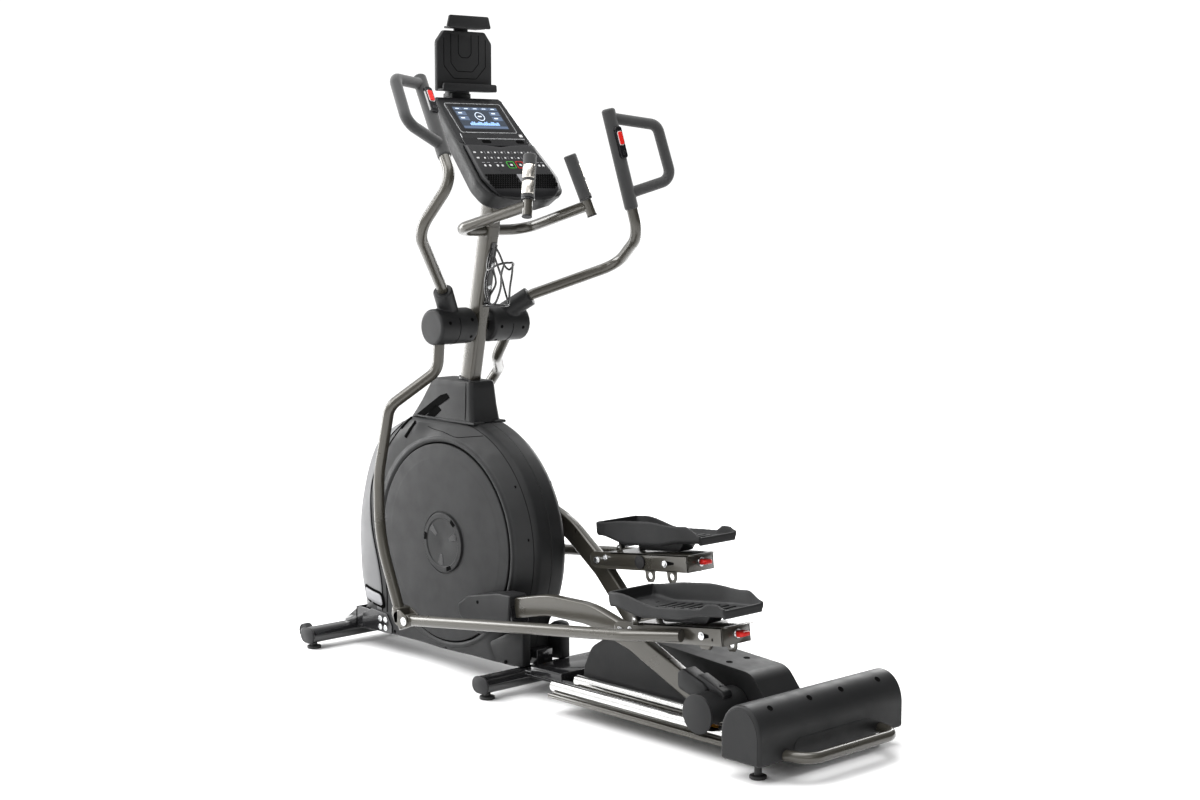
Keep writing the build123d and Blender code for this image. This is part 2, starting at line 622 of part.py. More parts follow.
CAGE_R, CAGE_ROD, CAGE_FLOOR = 38, 4, 3
CAGE_Z = (1085, 1120, 1215)
with BuildPart() as bottle_cage:
    with BuildSketch(mast_plane(1080)):
        with Locations((0, -MAST[1] / 2 - 2.6)):
            Rectangle(18, 4)
    extrude(amount=150)
    for z in CAGE_Z:
        ring = mast_plane(z)
        with BuildSketch(ring):
            with Locations((0, -MAST[1] / 2 - 4 - CAGE_R)):
                Circle(CAGE_R + CAGE_ROD)
                Circle(CAGE_R - CAGE_ROD / 2, mode=Mode.SUBTRACT)
        extrude(amount=7)
    with BuildSketch(mast_plane(CAGE_Z[0])):
        with Locations((0, -MAST[1] / 2 - 4 - CAGE_R)):
            with PolarLocations(CAGE_R + 1, 3, 30):
                Rectangle(5, 8)
    extrude(amount=136)
    with BuildSketch(mast_plane(CAGE_Z[0])):
        with Locations((0, -MAST[1] / 2 - 4 - CAGE_R)):
            Rectangle(8, 2 * CAGE_R + CAGE_ROD)
            Rectangle(2 * CAGE_R + CAGE_ROD, 8)
    extrude(amount=-CAGE_FLOOR)
bottle_cage.part.label = "bottle_cage"
export_step(bottle_cage.part, "parts/bottle_cage.step")

# Console: its face leans back, with local Y up the face from the lower edge's side
FACE_TOP = (0, 455, 1687)
FACE = Plane(origin=FACE_TOP, x_dir=(1, 0, 0), z_dir=(0, -0.724, 0.69))
FACE_THICK = 14
SCREEN = (146, 78)
SCREEN_DOWN = 72


def face_outline(inset=0):
    """The console's outline, wider towards the user."""
    half = [(118 - inset, -inset), (126 - inset, -12), (138 - inset, -170), (155 - inset, -330),
            (140 - inset, -385 + inset / 2), (60, -405 + inset)]
    with BuildLine() as outline:
        Polyline(*half, *[(-x, y) for x, y in reversed(half)], close=True)
    make_face(outline.line)


with BuildPart() as console_face:
    with BuildSketch(FACE.offset(-FACE_THICK)) as section:
        face_outline()
    extrude(section.sketch, amount=FACE_THICK)
    fillet(console_face.faces().sort_by(Axis((0, 0, 0), (0, -0.724, 0.69)))[-1].edges(), 3)
    with BuildSketch(FACE.offset(-5)):
        with Locations((0, -SCREEN_DOWN)):
            RectangleRounded(*SCREEN, 4)
    extrude(amount=6, mode=Mode.SUBTRACT)
    with BuildSketch(FACE.offset(-8)):
        with Locations((0, -165)):
            RectangleRounded(206, 30, 8)
    extrude(amount=9, mode=Mode.SUBTRACT)
console_face.part.label = "console_face"
export_step(console_face.part, "parts/console_face.step")

with BuildPart() as display:
    with BuildSketch(FACE.offset(-5)):
        with Locations((0, -SCREEN_DOWN)):
            RectangleRounded(SCREEN[0] - 1, SCREEN[1] - 1, 3.5)
    extrude(amount=4)
display.part.label = "display"
export_step(display.part, "parts/display.step")

BASE_DEPTH = (58, 92)
with BuildPart() as console_base:
    with BuildSketch(FACE.offset(-BASE_DEPTH[0])) as section:
        face_outline(10)
    extrude(section.sketch, amount=BASE_DEPTH[0] - FACE_THICK)
    with BuildSketch(FACE.offset(-BASE_DEPTH[1])):
        with Locations((0, -250)):
            RectangleRounded(120, 120, 20)
    extrude(amount=BASE_DEPTH[1] - BASE_DEPTH[0])
    with BuildSketch(FACE.offset(-BASE_DEPTH[0] + SHELL)) as section:
        face_outline(14)
    extrude(section.sketch, amount=BASE_DEPTH[0] - SHELL, mode=Mode.SUBTRACT)
    with BuildSketch(FACE.offset(-BASE_DEPTH[1] + SHELL)):
        with Locations((0, -250)):
            RectangleRounded(112, 112, 17)
    extrude(amount=BASE_DEPTH[1], mode=Mode.SUBTRACT)
    # neck that carries the tablet holder, behind the top edge
    block((-36, 478, 1640), (36, 524, 1700))
    block((-38, 486, 1690), (38, 514, 1716))
    with BuildSketch(mast_plane(1330)):
        RectangleRounded(MAST[0] + 1, MAST[1] + 1, 11.5)
    extrude(amount=mast_run(1330, MAST_TOP_Z + 1), mode=Mode.SUBTRACT)
console_base.part.label = "console_base"
export_step(console_base.part, "parts/console_base.step")

TABLET_Y = 464
TABLET_Z = (1704, 1878)
TABLET_X = 102
CLAMP_TRAVEL = 60
with BuildPart() as tablet_plate:
    with BuildSketch(Plane(origin=(0, TABLET_Y, 0), x_dir=(1, 0, 0), z_dir=(0, -1, 0))):
        Polygon((-TABLET_X, TABLET_Z[0]), (TABLET_X, TABLET_Z[0]), (TABLET_X, 1850), (78, TABLET_Z[1]),
                (-78, TABLET_Z[1]), (-TABLET_X, 1850), align=None)
    extrude(amount=-14)
    fillet(tablet_plate.edges().filter_by(Axis.Y), 6)
    block((-TABLET_X, TABLET_Y - 26, TABLET_Z[0]), (TABLET_X, TABLET_Y, TABLET_Z[0] + 6))
    block((-TABLET_X, TABLET_Y - 26, TABLET_Z[0]), (TABLET_X, TABLET_Y - 21, TABLET_Z[0] + 20))
    block((-32, TABLET_Y + 14, TABLET_Z[0] + 12.5), (32, 514, TABLET_Z[0] + 40))
    block((-31, TABLET_Y + 13, TABLET_Z[1] - 66), (31, TABLET_Y + 26, TABLET_Z[1] - 2))
    block((-25.4, TABLET_Y + 14.5, TABLET_Z[1] - 67), (25.4, TABLET_Y + 22.5, TABLET_Z[1] - 1), mode=Mode.SUBTRACT)
tablet_plate.part.label = "tablet_plate"
export_step(tablet_plate.part, "parts/tablet_plate.step")

with BuildPart() as tablet_clamp:
    block((-25, TABLET_Y + 15, TABLET_Z[1] - 126), (25, TABLET_Y + 22, TABLET_Z[1] + 12))
    block((-60, TABLET_Y - 24, TABLET_Z[1] + 6), (60, TABLET_Y + 22, TABLET_Z[1] + 13))
    with BuildSketch(Plane(origin=(0, TABLET_Y - 24, 0), x_dir=(1, 0, 0), z_dir=(0, 1, 0))) as jaw:
        Polygon((-82, -TABLET_Z[1] - 8), (82, -TABLET_Z[1] - 8), (70, -TABLET_Z[1] - 44), (-70, -TABLET_Z[1] - 44),
                align=None)
    extrude(amount=8)
tablet_clamp.part.label = "tablet_clamp"
export_step(tablet_clamp.part, "parts/tablet_clamp.step")

# ---------------------------------------------------------------- swing arms
HUB_R = 27
HUB_X = (40, 158)
COVER_R, COVER_X = 52.5, (32, 168)
SWING_PATH = [(137, 0, -18), (137, 10, -128), (LINK_X, 92, -232), (LINK_X, 146, -440), (LINK_X, 143, -620),
              (LINK_X, 27, -877)]
SWING_RADII = [60, 60, 300, 400]
NECK_PATH = [(82, 14, 10), (133, -17, 87)]
NECK_R = 20
HANDLE_PATH = [(125, -12, 75), (150, -27, 113), (325, -142, 280), (272, -225, 425), (209, -4, 703)]
HANDLE_RADII = [60, 90, 75]
GRIP_START, GRIP_END = (252, -157, 510), (208, 0, 708)
LOOP_PATH = [(212, -12, 690), (348, -69, 700), (381, -168, 578), (250, -149, 520)]
LOOP_RADII = [30, 34]
LOOP_CORE_R, FOAM_R, LOOP_FOAM_R = 9, 20, 16
FOAM_RUN = 0.2     # clearance of the foam round its tubes
FOOT_PIN_R = 8
EYE_R, EYE_X = 19, (232, 268)
PAD_DIRECTION = (0, -0.782, 0.622)
for name, side in SIDES.items():
    frame = swing_frame(name)
    with BuildPart() as swing_tube:
        disc_between(frame, *HUB_X, HUB_R)
        sweep_round(frame.points(*SWING_PATH), SWING_RADII, TUBE)
        sweep_round(frame.points(*NECK_PATH), None, NECK_R)
        sweep_round(frame.points((122, -10, 71), (138, -20, 95)), None, TUBE + GAP, mode=Mode.SUBTRACT)
        for x in (EYE_X[0] - 6, EYE_X[1] + 1):
            plate_between(frame, x, x + 5, [(-17, -848), (-10, -835), (24, -818), (52, -836), (40, -862), (0, -866)])
        plate_between(frame, EYE_X[0] - 6, EYE_X[1] + 6, [(28, -818), (54, -812), (58, -836), (44, -860), (28, -858)])
        disc_between(frame, EYE_X[0] - 8, EYE_X[1] + 8, FOOT_PIN_R, up=-SWING_LENGTH)
        disc_between(frame, HUB_X[0] - 1, HUB_X[1] + 1, AXLE + RUN, mode=Mode.SUBTRACT)
    swing_tube.part.label = f"swing_tube_{name}"
    export_step(swing_tube.part, f"parts/swing_tube_{name}.step")

    with BuildPart() as handle_tube:
        sweep_round(frame.points(*HANDLE_PATH), HANDLE_RADII, TUBE)
        sweep_round(frame.points(*LOOP_PATH), LOOP_RADII, LOOP_CORE_R)
    handle_tube.part.label = f"handle_tube_{name}"
    export_step(handle_tube.part, f"parts/handle_tube_{name}.step")

    # pivot cover: a drum over the hub and a sleeve round the neck
    with BuildPart() as pivot_cover:
        disc_between(frame, *COVER_X, COVER_R)
        sweep_round(frame.points((93, 7, 27), (146, -25, 107)), None, 29)
        disc_between(frame, COVER_X[0] + 3, COVER_X[1] - 3, COVER_R - 3, mode=Mode.SUBTRACT)
        disc_between(frame, COVER_X[0] - 1, COVER_X[0] + 4, AXLE + 4, mode=Mode.SUBTRACT)
        sweep_round(frame.points((82, 14, 10), (150, -27, 113)), None, NECK_R + 1, mode=Mode.SUBTRACT)
        sweep_round(frame.points((137, 0, -10), (137, 7, -90)), None, TUBE + 3, mode=Mode.SUBTRACT)
    pivot_cover.part.label = f"pivot_cover_{name}"
    export_step(pivot_cover.part, f"parts/pivot_cover_{name}.step")

    # foam grip: a sleeve on the handle, the foam of the D-loop, and a switch housing facing the user
    start, end = Vector(*frame.point(*GRIP_START)), Vector(*frame.point(*GRIP_END))
    axis = (end - start).normalized()
    facing = Vector(*frame.point(*PAD_DIRECTION)) - Vector(*frame.point(0, 0, 0))
    facing = (facing - axis * facing.dot(axis)).normalized()
    switch = start + axis * (0.62 * (end - start).length)
    switch_plane = Plane(origin=switch, x_dir=axis, z_dir=facing)
    handle = frame.points(*HANDLE_PATH)
    loop = frame.points(*LOOP_PATH)
    with BuildPart() as foam_grip:
        sweep_round([tuple(start - axis * 34), tuple(end + axis * 4)], None, FOAM_R)
        sweep_round(loop, LOOP_RADII, LOOP_FOAM_R)
        with BuildSketch(switch_plane):
            RectangleRounded(92, 26, 8)
        extrude(amount=FOAM_R + 5)
        with BuildSketch(switch_plane.offset(FOAM_R - 1)):
            with Locations((12, 0)):
                RectangleRounded(39, 17, 4)
        extrude(amount=8, mode=Mode.SUBTRACT)
        sweep_round(handle, HANDLE_RADII, TUBE + FOAM_RUN, mode=Mode.SUBTRACT)
        sweep_round(loop, LOOP_RADII, LOOP_CORE_R + FOAM_RUN, mode=Mode.SUBTRACT)
    foam_grip.part.label = f"foam_grip_{name}"
    export_step(foam_grip.part, f"parts/foam_grip_{name}.step")

    with BuildPart() as rocker:
        with BuildSketch(switch_plane.offset(FOAM_R + 1)):
            with Locations((12, 0)):
                RectangleRounded(37, 15, 3.5)
        extrude(amount=6)
    rocker.part.label = f"rocker_{name}"
    export_step(rocker.part, f"parts/rocker_{name}.step")

# ---------------------------------------------------------------- pedals and connecting arms
CHEEKS = (92, 97, 190, 195)
BRACKET_END = -365
PIVOT_PIN_R, PIVOT_BORE_R, BOSS_R = 8, 10.9, 17
ARM_TUBE_PATH = [(LINK_X, LINK_LENGTH, 0), (LINK_X, -60, 0), (210, -236, 0)]
PEDAL_PLACE = (-70, 36)
PEDAL = (176, 400)
PEDAL_FRONT, PEDAL_Z = -18, (47, 116)
KNOB_X, KNOB_UP = 142, 2
for name, side in SIDES.items():
    frame = link_frame(name)
    with BuildPart() as link_arm:
        sweep_round(frame.points(*ARM_TUBE_PATH), [120], TUBE)
        disc_between(frame, *EYE_X, EYE_R, along=LINK_LENGTH)
        disc_between(frame, EYE_X[0] - 1, EYE_X[1] + 1, FOOT_PIN_R + RUN, along=LINK_LENGTH, mode=Mode.SUBTRACT)
        cheek = [(22, -14), (22, 16), (12, 24), (BRACKET_END, 24), (BRACKET_END, -24), (-8, -24)]
        plate_between(frame, CHEEKS[0], CHEEKS[1], cheek)
        plate_between(frame, CHEEKS[2], CHEEKS[3], cheek)
        plate_between(frame, CHEEKS[0], CHEEKS[3], [(-60, 19), (-60, 24), (BRACKET_END, 24), (BRACKET_END, 19)])
        plate_between(frame, CHEEKS[0], CHEEKS[3], [(BRACKET_END, -24), (BRACKET_END, 24), (BRACKET_END + 5, 24),
                                                    (BRACKET_END + 5, -24)])
        disc_between(frame, CHEEKS[0] - 5, CHEEKS[3] + 5, PIVOT_PIN_R)
        # ears that carry the pedal's hinge pin
        for x in (118, 205):
            plate_between(frame, x, x + 5, [(PEDAL_PLACE[0] - 12, 20), (PEDAL_PLACE[0] - 6, 42),
                                            (PEDAL_PLACE[0] + 6, 42), (PEDAL_PLACE[0] + 12, 20)])
        plate_between(frame, CHEEKS[3] - 1, 210, [(-60, 19), (-60, 24), (-82, 24), (-82, 19)])
        # lugs under the bracket
        for along in (-215, -300):
            plate_between(frame, CHEEKS[0], CHEEKS[1], [(along - 18, -22), (along + 18, -22), (along + 12, -54),
                                                        (along - 12, -54)])
            disc_between(frame, CHEEKS[0] - 1, CHEEKS[1] + 1, 8, along=along, up=-38, mode=Mode.SUBTRACT)
        disc_between(frame, 112, 214, 4 + RUN, *PEDAL_PLACE, mode=Mode.SUBTRACT)
        with BuildSketch(Plane(origin=frame.point(KNOB_X, BRACKET_END + 10, KNOB_UP), x_dir=(1, 0, 0),
                               z_dir=Vector(*frame.point(0, -1, 0)) - Vector(*frame.point(0, 0, 0)))):
            Circle(5 + RUN)
        extrude(amount=14, mode=Mode.SUBTRACT)
    link_arm.part.label = f"link_arm_{name}"
    export_step(link_arm.part, f"parts/link_arm_{name}.step")

    rear = Vector(*frame.point(0, -1, 0)) - Vector(*frame.point(0, 0, 0))
    with BuildPart() as knob:
        knob_plane = Plane(origin=frame.point(KNOB_X, BRACKET_END, KNOB_UP), x_dir=(1, 0, 0), z_dir=rear)
        with BuildSketch(knob_plane.offset(-14)):
            Circle(5)
        extrude(amount=16)
        with BuildSketch(knob_plane.offset(GAP)):
            Circle(9)
        extrude(amount=6)
        with BuildSketch(knob_plane.offset(6)):
            SlotOverall(30, 11)
        extrude(amount=24, taper=4)
    knob.part.label = f"knob_{name}"
    export_step(knob.part, f"parts/knob_{name}.step")

    with BuildPart() as pedal:
        half = PEDAL[0] / 2
        x_in, x_out = PEDAL_X - half, PEDAL_X + half
        rear_end = PEDAL_FRONT - PEDAL[1]
        body = [(PEDAL_FRONT, 74), (PEDAL_FRONT, PEDAL_Z[1] - 4), (-110, PEDAL_Z[1]), (-330, PEDAL_Z[1] - 2),
                (rear_end + 20, 76), (rear_end, 68), (rear_end + 60, 50), (-300, PEDAL_Z[0]), (-120, PEDAL_Z[0])]
        plate_between(frame, x_in, x_out, body)
        tread = [(PEDAL_FRONT - 8, 130), (PEDAL_FRONT - 12, 66), (rear_end + 24, 62), (rear_end + 16, 130)]
        plate_between(frame, x_in + 8, x_out - 8, tread, mode=Mode.SUBTRACT)
        low_rim = [(-60, 130), (-120, 110), (-230, 84), (-350, 74), (rear_end - 2, 74), (rear_end - 2, 130)]
        plate_between(frame, x_out - 9, x_out + 1, low_rim, mode=Mode.SUBTRACT)
        # hinge lugs under the toe
        for x in (125, 194):
            plate_between(frame, x, x + 10, [(PEDAL_PLACE[0] - 7, 30), (PEDAL_PLACE[0] + 7, 30),
                                             (PEDAL_PLACE[0] + 10, 70), (PEDAL_PLACE[0] - 10, 70)])
        disc_between(frame, 117, 211, 4, *PEDAL_PLACE)
    pedal.part.label = f"pedal_{name}"
    export_step(pedal.part, f"parts/pedal_{name}.step")

# ---------------------------------------------------------------- roller arms
ARM_BOX = (30, 58)
ARM_PATH = [(ARM_X, 14, 4), (ARM_X, 308, 96), (ARM_X, 480, 122), (ARM_X, 650, 102), (ARM_X, 912, 14)]
ARM_RADII = [180, 300, 300]
PIN_HOLE_R, ARM_EYE_R = 28, 38
CAP_X, CAP_R = (106, 172), 57
HOUSING_X, HOUSING_R = (71.5, 210), 51
WHEEL_HALF, WHEEL_EDGE_R = 14, 33.5
GROOVE_R = RAIL_R + 0.35
BOSS_X = (107, 161)
for name, side in SIDES.items():
    frame = arm_frame(name)
    turn = radians(PIVOT_ANGLE)
    pivot = (PIVOT_REACH * cos(turn), PIVOT_REACH * sin(turn))
    with BuildPart() as roller_arm:
        sweep_box(frame.points(*ARM_PATH), ARM_RADII, *ARM_BOX, 3)
        disc_between(frame, *BOSS_X, 20)
        disc_between(frame, ARM_X - 15, ARM_X + 15, ARM_EYE_R, along=ARM_REACH)
        plate_between(frame, ARM_X - 15, ARM_X + 15, [(890, -6), (900, 40), (950, 30), (950, -30), (905, -20)])
        disc_between(frame, 104, 183, BOSS_R, *pivot)
        disc_between(frame, BOSS_X[0] - 1, BOSS_X[1] + 1, AXLE_R + RUN, mode=Mode.SUBTRACT)
        disc_between(frame, 103, 184, PIVOT_BORE_R, *pivot, mode=Mode.SUBTRACT)
        disc_between(frame, ARM_X - 16, ARM_X + 16, PIN_HOLE_R, along=ARM_REACH, mode=Mode.SUBTRACT)
    roller_arm.part.label = f"roller_arm_{name}"
    export_step(roller_arm.part, f"parts/roller_arm_{name}.step")

    with BuildPart() as arm_cap:
        body = [(ARM_REACH - 185, 18), (ARM_REACH - 185, 97), (ARM_REACH + 5, 57), (ARM_REACH + 5, -57),
                (ARM_REACH - 60, -52)]
        disc_between(frame, *CAP_X, CAP_R, along=ARM_REACH)
        plate_between(frame, *CAP_X, body)
        hollow = [(ARM_REACH - 186, 21), (ARM_REACH - 186, 94), (ARM_REACH, 54), (ARM_REACH, -54),
                  (ARM_REACH - 62, -48)]
        disc_between(frame, CAP_X[0] + 3, CAP_X[1] - 3, CAP_R - 3, along=ARM_REACH, mode=Mode.SUBTRACT)
        plate_between(frame, CAP_X[0] + 3, CAP_X[1] - 3, hollow, mode=Mode.SUBTRACT)
        disc_between(frame, CAP_X[0] - 1, CAP_X[0] + 4, PIN_HOLE_R, along=ARM_REACH, mode=Mode.SUBTRACT)
        plate_between(frame, ARM_X + 15, CAP_X[1] - 2, [(815, 20), (845, 20), (845, 50), (815, 50)])
    arm_cap.part.label = f"arm_cap_{name}"
    export_step(arm_cap.part, f"parts/arm_cap_{name}.step")

    with BuildPart() as roller_housing:
        disc_between(frame, *HOUSING_X, HOUSING_R)
        plate_between(frame, ARM_X - 24, ARM_X + 24, [(20, -22), (24, 52), (112, 78), (128, 20), (50, -14)])
        plate_between(frame, ARM_X - 18, ARM_X + 18, [(-34, 30), (-36, 52), (-26, 58), (60, 84), (60, 40)])
        disc_between(frame, HOUSING_X[0] + 3, HOUSING_X[1] - 5, HOUSING_R - 6, mode=Mode.SUBTRACT)
        plate_between(frame, ARM_X - 15.4, ARM_X + 15.4, [(0, -50), (0, 35), (130, 72), (150, 5), (30, -50)],
                      mode=Mode.SUBTRACT)
        block_x = sorted((side * (HOUSING_X[0] - 1), side * (HOUSING_X[1] - 5)))
        block((block_x[0], frame.origin[0] - 90, 40), (block_x[1], frame.origin[0] + 90, 96), mode=Mode.SUBTRACT)
    roller_housing.part.label = f"roller_housing_{name}"
    export_step(roller_housing.part, f"parts/roller_housing_{name}.step")

    with BuildPart() as roller_axle:
        disc_between(frame, RAILS_X[0] - WHEEL_HALF - 1, RAILS_X[1] + WHEEL_HALF + 10, AXLE_R)
    roller_axle.part.label = f"roller_axle_{name}"
    export_step(roller_axle.part, f"parts/roller_axle_{name}.step")

    with BuildPart() as rollers:
        # concave wheels: the rail's round top sits in each groove
        drop = ROLLER_Z - RAIL_Z
        edge = sqrt(GROOVE_R**2 - (drop - WHEEL_EDGE_R) ** 2)
        for x in RAILS_X:
            middle = frame.side * x
            with BuildSketch(Plane(origin=frame.point(x, 0, 0), x_dir=(1, 0, 0), z_dir=(0, -1, 0))):
                with BuildLine():
                    Polyline((-edge, WHEEL_EDGE_R), (-WHEEL_HALF, WHEEL_EDGE_R), (-WHEEL_HALF, AXLE_R + RUN),
                             (WHEEL_HALF, AXLE_R + RUN), (WHEEL_HALF, WHEEL_EDGE_R), (edge, WHEEL_EDGE_R))
                    ThreePointArc((edge, WHEEL_EDGE_R), (0, drop - GROOVE_R), (-edge, WHEEL_EDGE_R))
                make_face()
            revolve(axis=Axis(frame.point(0, 0, 0), (1, 0, 0)))
    rollers.part.label = f"rollers_{name}"
    export_step(rollers.part, f"parts/rollers_{name}.step")
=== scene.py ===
"""Elliptical trainer: the looks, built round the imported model.

Shapes are given in millimetres in the model's own frame and scaled to metres when a mesh is made.
"""
import json
from math import atan2, ceil, cos, degrees, hypot, pi, radians, sin, sqrt, tan

import bmesh
import bpy
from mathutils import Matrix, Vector


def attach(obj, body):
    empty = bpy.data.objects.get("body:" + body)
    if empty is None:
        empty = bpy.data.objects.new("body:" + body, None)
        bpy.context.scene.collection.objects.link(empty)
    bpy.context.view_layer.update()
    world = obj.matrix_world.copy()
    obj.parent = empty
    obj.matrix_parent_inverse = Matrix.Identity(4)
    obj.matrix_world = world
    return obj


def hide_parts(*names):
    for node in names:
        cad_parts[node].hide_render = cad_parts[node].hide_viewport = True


MM = 0.001
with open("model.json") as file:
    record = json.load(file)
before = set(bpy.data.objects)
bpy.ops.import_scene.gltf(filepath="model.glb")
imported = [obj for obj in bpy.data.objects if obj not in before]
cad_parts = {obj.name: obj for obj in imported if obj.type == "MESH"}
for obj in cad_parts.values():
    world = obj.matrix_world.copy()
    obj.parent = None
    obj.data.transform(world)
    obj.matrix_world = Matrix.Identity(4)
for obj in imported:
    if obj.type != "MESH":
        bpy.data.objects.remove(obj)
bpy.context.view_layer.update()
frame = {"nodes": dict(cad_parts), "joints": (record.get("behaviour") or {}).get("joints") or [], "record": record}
NODES = frame["nodes"]
JOINTS = {joint["name"]: joint for joint in frame["joints"]}
SIDES = {"left": -1, "right": 1}

# ---------------------------------------------------------------- places taken from the frame


def joint_place(name):
    """A hinge's centre as (y, z), in millimetres."""
    x, y, z = JOINTS[name]["pos_m"]
    return y / MM, z / MM


def bearing(start, end):
    return degrees(atan2(end[1] - start[1], end[0] - start[0]))


def polar(origin, reach, angle):
    return origin[0] + reach * cos(radians(angle)), origin[1] + reach * sin(radians(angle))


class SideFrame:
    """A side view frame: an origin in Y and Z, turned about X, on one side of the machine."""

    def __init__(self, side, origin=(0, 0), turn=0):
        self.side = side
        self.origin = origin
        self.turn = radians(turn)

    def point(self, x, along, up):
        c, s = cos(self.turn), sin(self.turn)
        return Vector((self.side * x, self.origin[0] + along * c - up * s, self.origin[1] + along * s + up * c))

    def path(self, *places):
        return [self.point(*place) for place in places]

    def direction(self, x, along, up):
        return (self.point(x, along, up) - self.point(0, 0, 0)).normalized()


MIDDLE = SideFrame(1)
CRANK = joint_place("crank")
CRANK_RADIUS = 254
CRANK_PHASE = {"left": 221.7, "right": 41.7}
PIVOT_REACH, PIVOT_ANGLE = 333, 23.4
SWING_LENGTH, LINK_LENGTH, ARM_REACH = 848, 833, 964
SWING, LINK, ARM, BAR = {}, {}, {}, {}
for name, side in SIDES.items():
    hub, foot = joint_place(f"{name}_swing"), joint_place(f"{name}_foot_pivot")
    roller = joint_place(f"{name}_arm_tilt")
    arm_turn = bearing(roller, polar(CRANK, CRANK_RADIUS, CRANK_PHASE[name]))
    pivot = polar(roller, PIVOT_REACH, arm_turn + PIVOT_ANGLE)
    SWING[name] = SideFrame(side, hub, bearing(hub, foot) + 90)
    LINK[name] = SideFrame(side, pivot, bearing(pivot, foot))
    ARM[name] = SideFrame(side, roller, arm_turn)
    BAR[name] = SideFrame(side, CRANK, CRANK_PHASE[name])

# ---------------------------------------------------------------- mesh tools


def wrap(name, mesh, sharp=35):
    """A mesh as a smooth-shaded object, its faces outwards and its hard edges kept."""
    bm = bmesh.new()
    bm.from_mesh(mesh)
    bmesh.ops.recalc_face_normals(bm, faces=bm.faces)
    bm.to_mesh(mesh)
    bm.free()
    mesh.shade_smooth()
    mesh.set_sharp_from_angle(angle=radians(sharp))
    obj = bpy.data.objects.new(name, mesh)
    bpy.context.scene.collection.objects.link(obj)
    return obj


def build(name, verts, faces, sharp=35):
    mesh = bpy.data.meshes.new(name)
    mesh.from_pydata([Vector(v) * MM for v in verts], [], faces)
    return wrap(name, mesh, sharp)


def capped(rings, count):
    """Faces of a skin through rings of points, closed at both ends."""
    last = (rings - 1) * count
    faces = [tuple(range(count)), tuple(range(last + count - 1, last - 1, -1))]
    for base in range(0, last, count):
        faces += [(base + i, base + (i + 1) % count, base + count + (i + 1) % count, base + count + i)
                  for i in range(count)]
    return faces


def loft(name, rows, sharp=35):
    """A closed body through rings that have the same number of points."""
    return build(name, [v for row in rows for v in row], capped(len(rows), len(rows[0])), sharp)


def sheet(name, rows, sharp=35):
    """An open skin through rows that have the same number of points."""
    width = len(rows[0])
    faces = [(r * width + k, r * width + k + 1, (r + 1) * width + k + 1, (r + 1) * width + k)
             for r in range(len(rows) - 1) for k in range(width - 1)]
    return build(name, [v for row in rows for v in row], faces, sharp)


def apply(obj, kind, **settings):
    """Adds one modifier and makes its result the object's own mesh."""
    modifier = obj.modifiers.new(kind, kind)
    for key, value in settings.items():
        setattr(modifier, key, value)
    evaluated = obj.evaluated_get(bpy.context.evaluated_depsgraph_get())
    mesh = bpy.data.meshes.new_from_object(evaluated)
    obj.modifiers.clear()
    old, obj.data = obj.data, mesh
    bpy.data.meshes.remove(old)
    return obj


def soften(obj, width, segments=3, angle=30):
    """Rounds every edge sharper than the angle."""
    apply(obj, "BEVEL", width=width * MM, segments=segments, limit_method="ANGLE", angle_limit=radians(angle),
          harden_normals=True)
    return obj


def join(name, pieces, sharp=35):
    """Several objects as one."""
    bm = bmesh.new()
    for piece in pieces:
        bm.from_mesh(piece.data)
        bpy.data.objects.remove(piece)
    mesh = bpy.data.meshes.new(name)
    bm.to_mesh(mesh)
    bm.free()
    return wrap(name, mesh, sharp)


def melt(name, pieces, voxel, rounds, factor=0.5):
    """Overlapping pieces as one skin, with its creases and corners softened."""
    obj = join(name, pieces)
    apply(obj, "REMESH", mode="VOXEL", voxel_size=voxel * MM)
    apply(obj, "SMOOTH", factor=factor, iterations=rounds)
    obj.data.shade_smooth()
    return obj


def cut(obj, *cutters):
    """Takes the cutters away from the object."""
    for cutter in cutters:
        apply(obj, "BOOLEAN", operation="DIFFERENCE", object=cutter, solver="EXACT")
        bpy.data.objects.remove(cutter)
    obj.data.set_sharp_from_angle(angle=radians(35))
    return obj


def rounded(points, radii, closed=False, step=7):
    """A polyline whose corners are arcs, in two or three dimensions."""
    points = [Vector(p) for p in points]
    count = len(points)
    inner = count if closed else count - 2
    if not hasattr(radii, "__len__"):
        radii = [radii] * inner
    result = []
    for i, corner in enumerate(points):
        radius = radii[i if closed else min(max(i - 1, 0), inner - 1)] if inner > 0 else 0
        if radius == 0 or (not closed and i in (0, count - 1)):
            result.append(corner)
            continue
        before, after = points[i - 1] - corner, points[(i + 1) % count] - corner
        turn = pi - before.angle(after)
        if turn < 0.01:
            result.append(corner)
            continue
        reach = min(radius * tan(turn / 2), 0.49 * before.length, 0.49 * after.length)
        start, end = corner + before.normalized() * reach, corner + after.normalized() * reach
        centre = corner + (before.normalized() + after.normalized()).normalized() * (
            reach / tan(turn / 2) / cos(turn / 2))
        steps = max(2, ceil(degrees(turn) / step))
        for k in range(steps + 1):
            swung = (start - centre).normalized().slerp((end - centre).normalized(), k / steps)
            result.append(centre + swung * (start - centre).length)
    return result


def outline_of(points, radii, step=7):
    """A closed outline in two dimensions, its corners rounded."""
    return [(p.x, p.y) for p in rounded([(a, b, 0) for a, b in points], radii, True, step)]


def face_box(half_wide, half_high, radii, step=7):
    """A rounded rectangle about the origin, given by its half sizes."""
    return outline_of([(-half_wide, -half_high), (half_wide, -half_high), (half_wide, half_high),
                       (-half_wide, half_high)], radii, step)


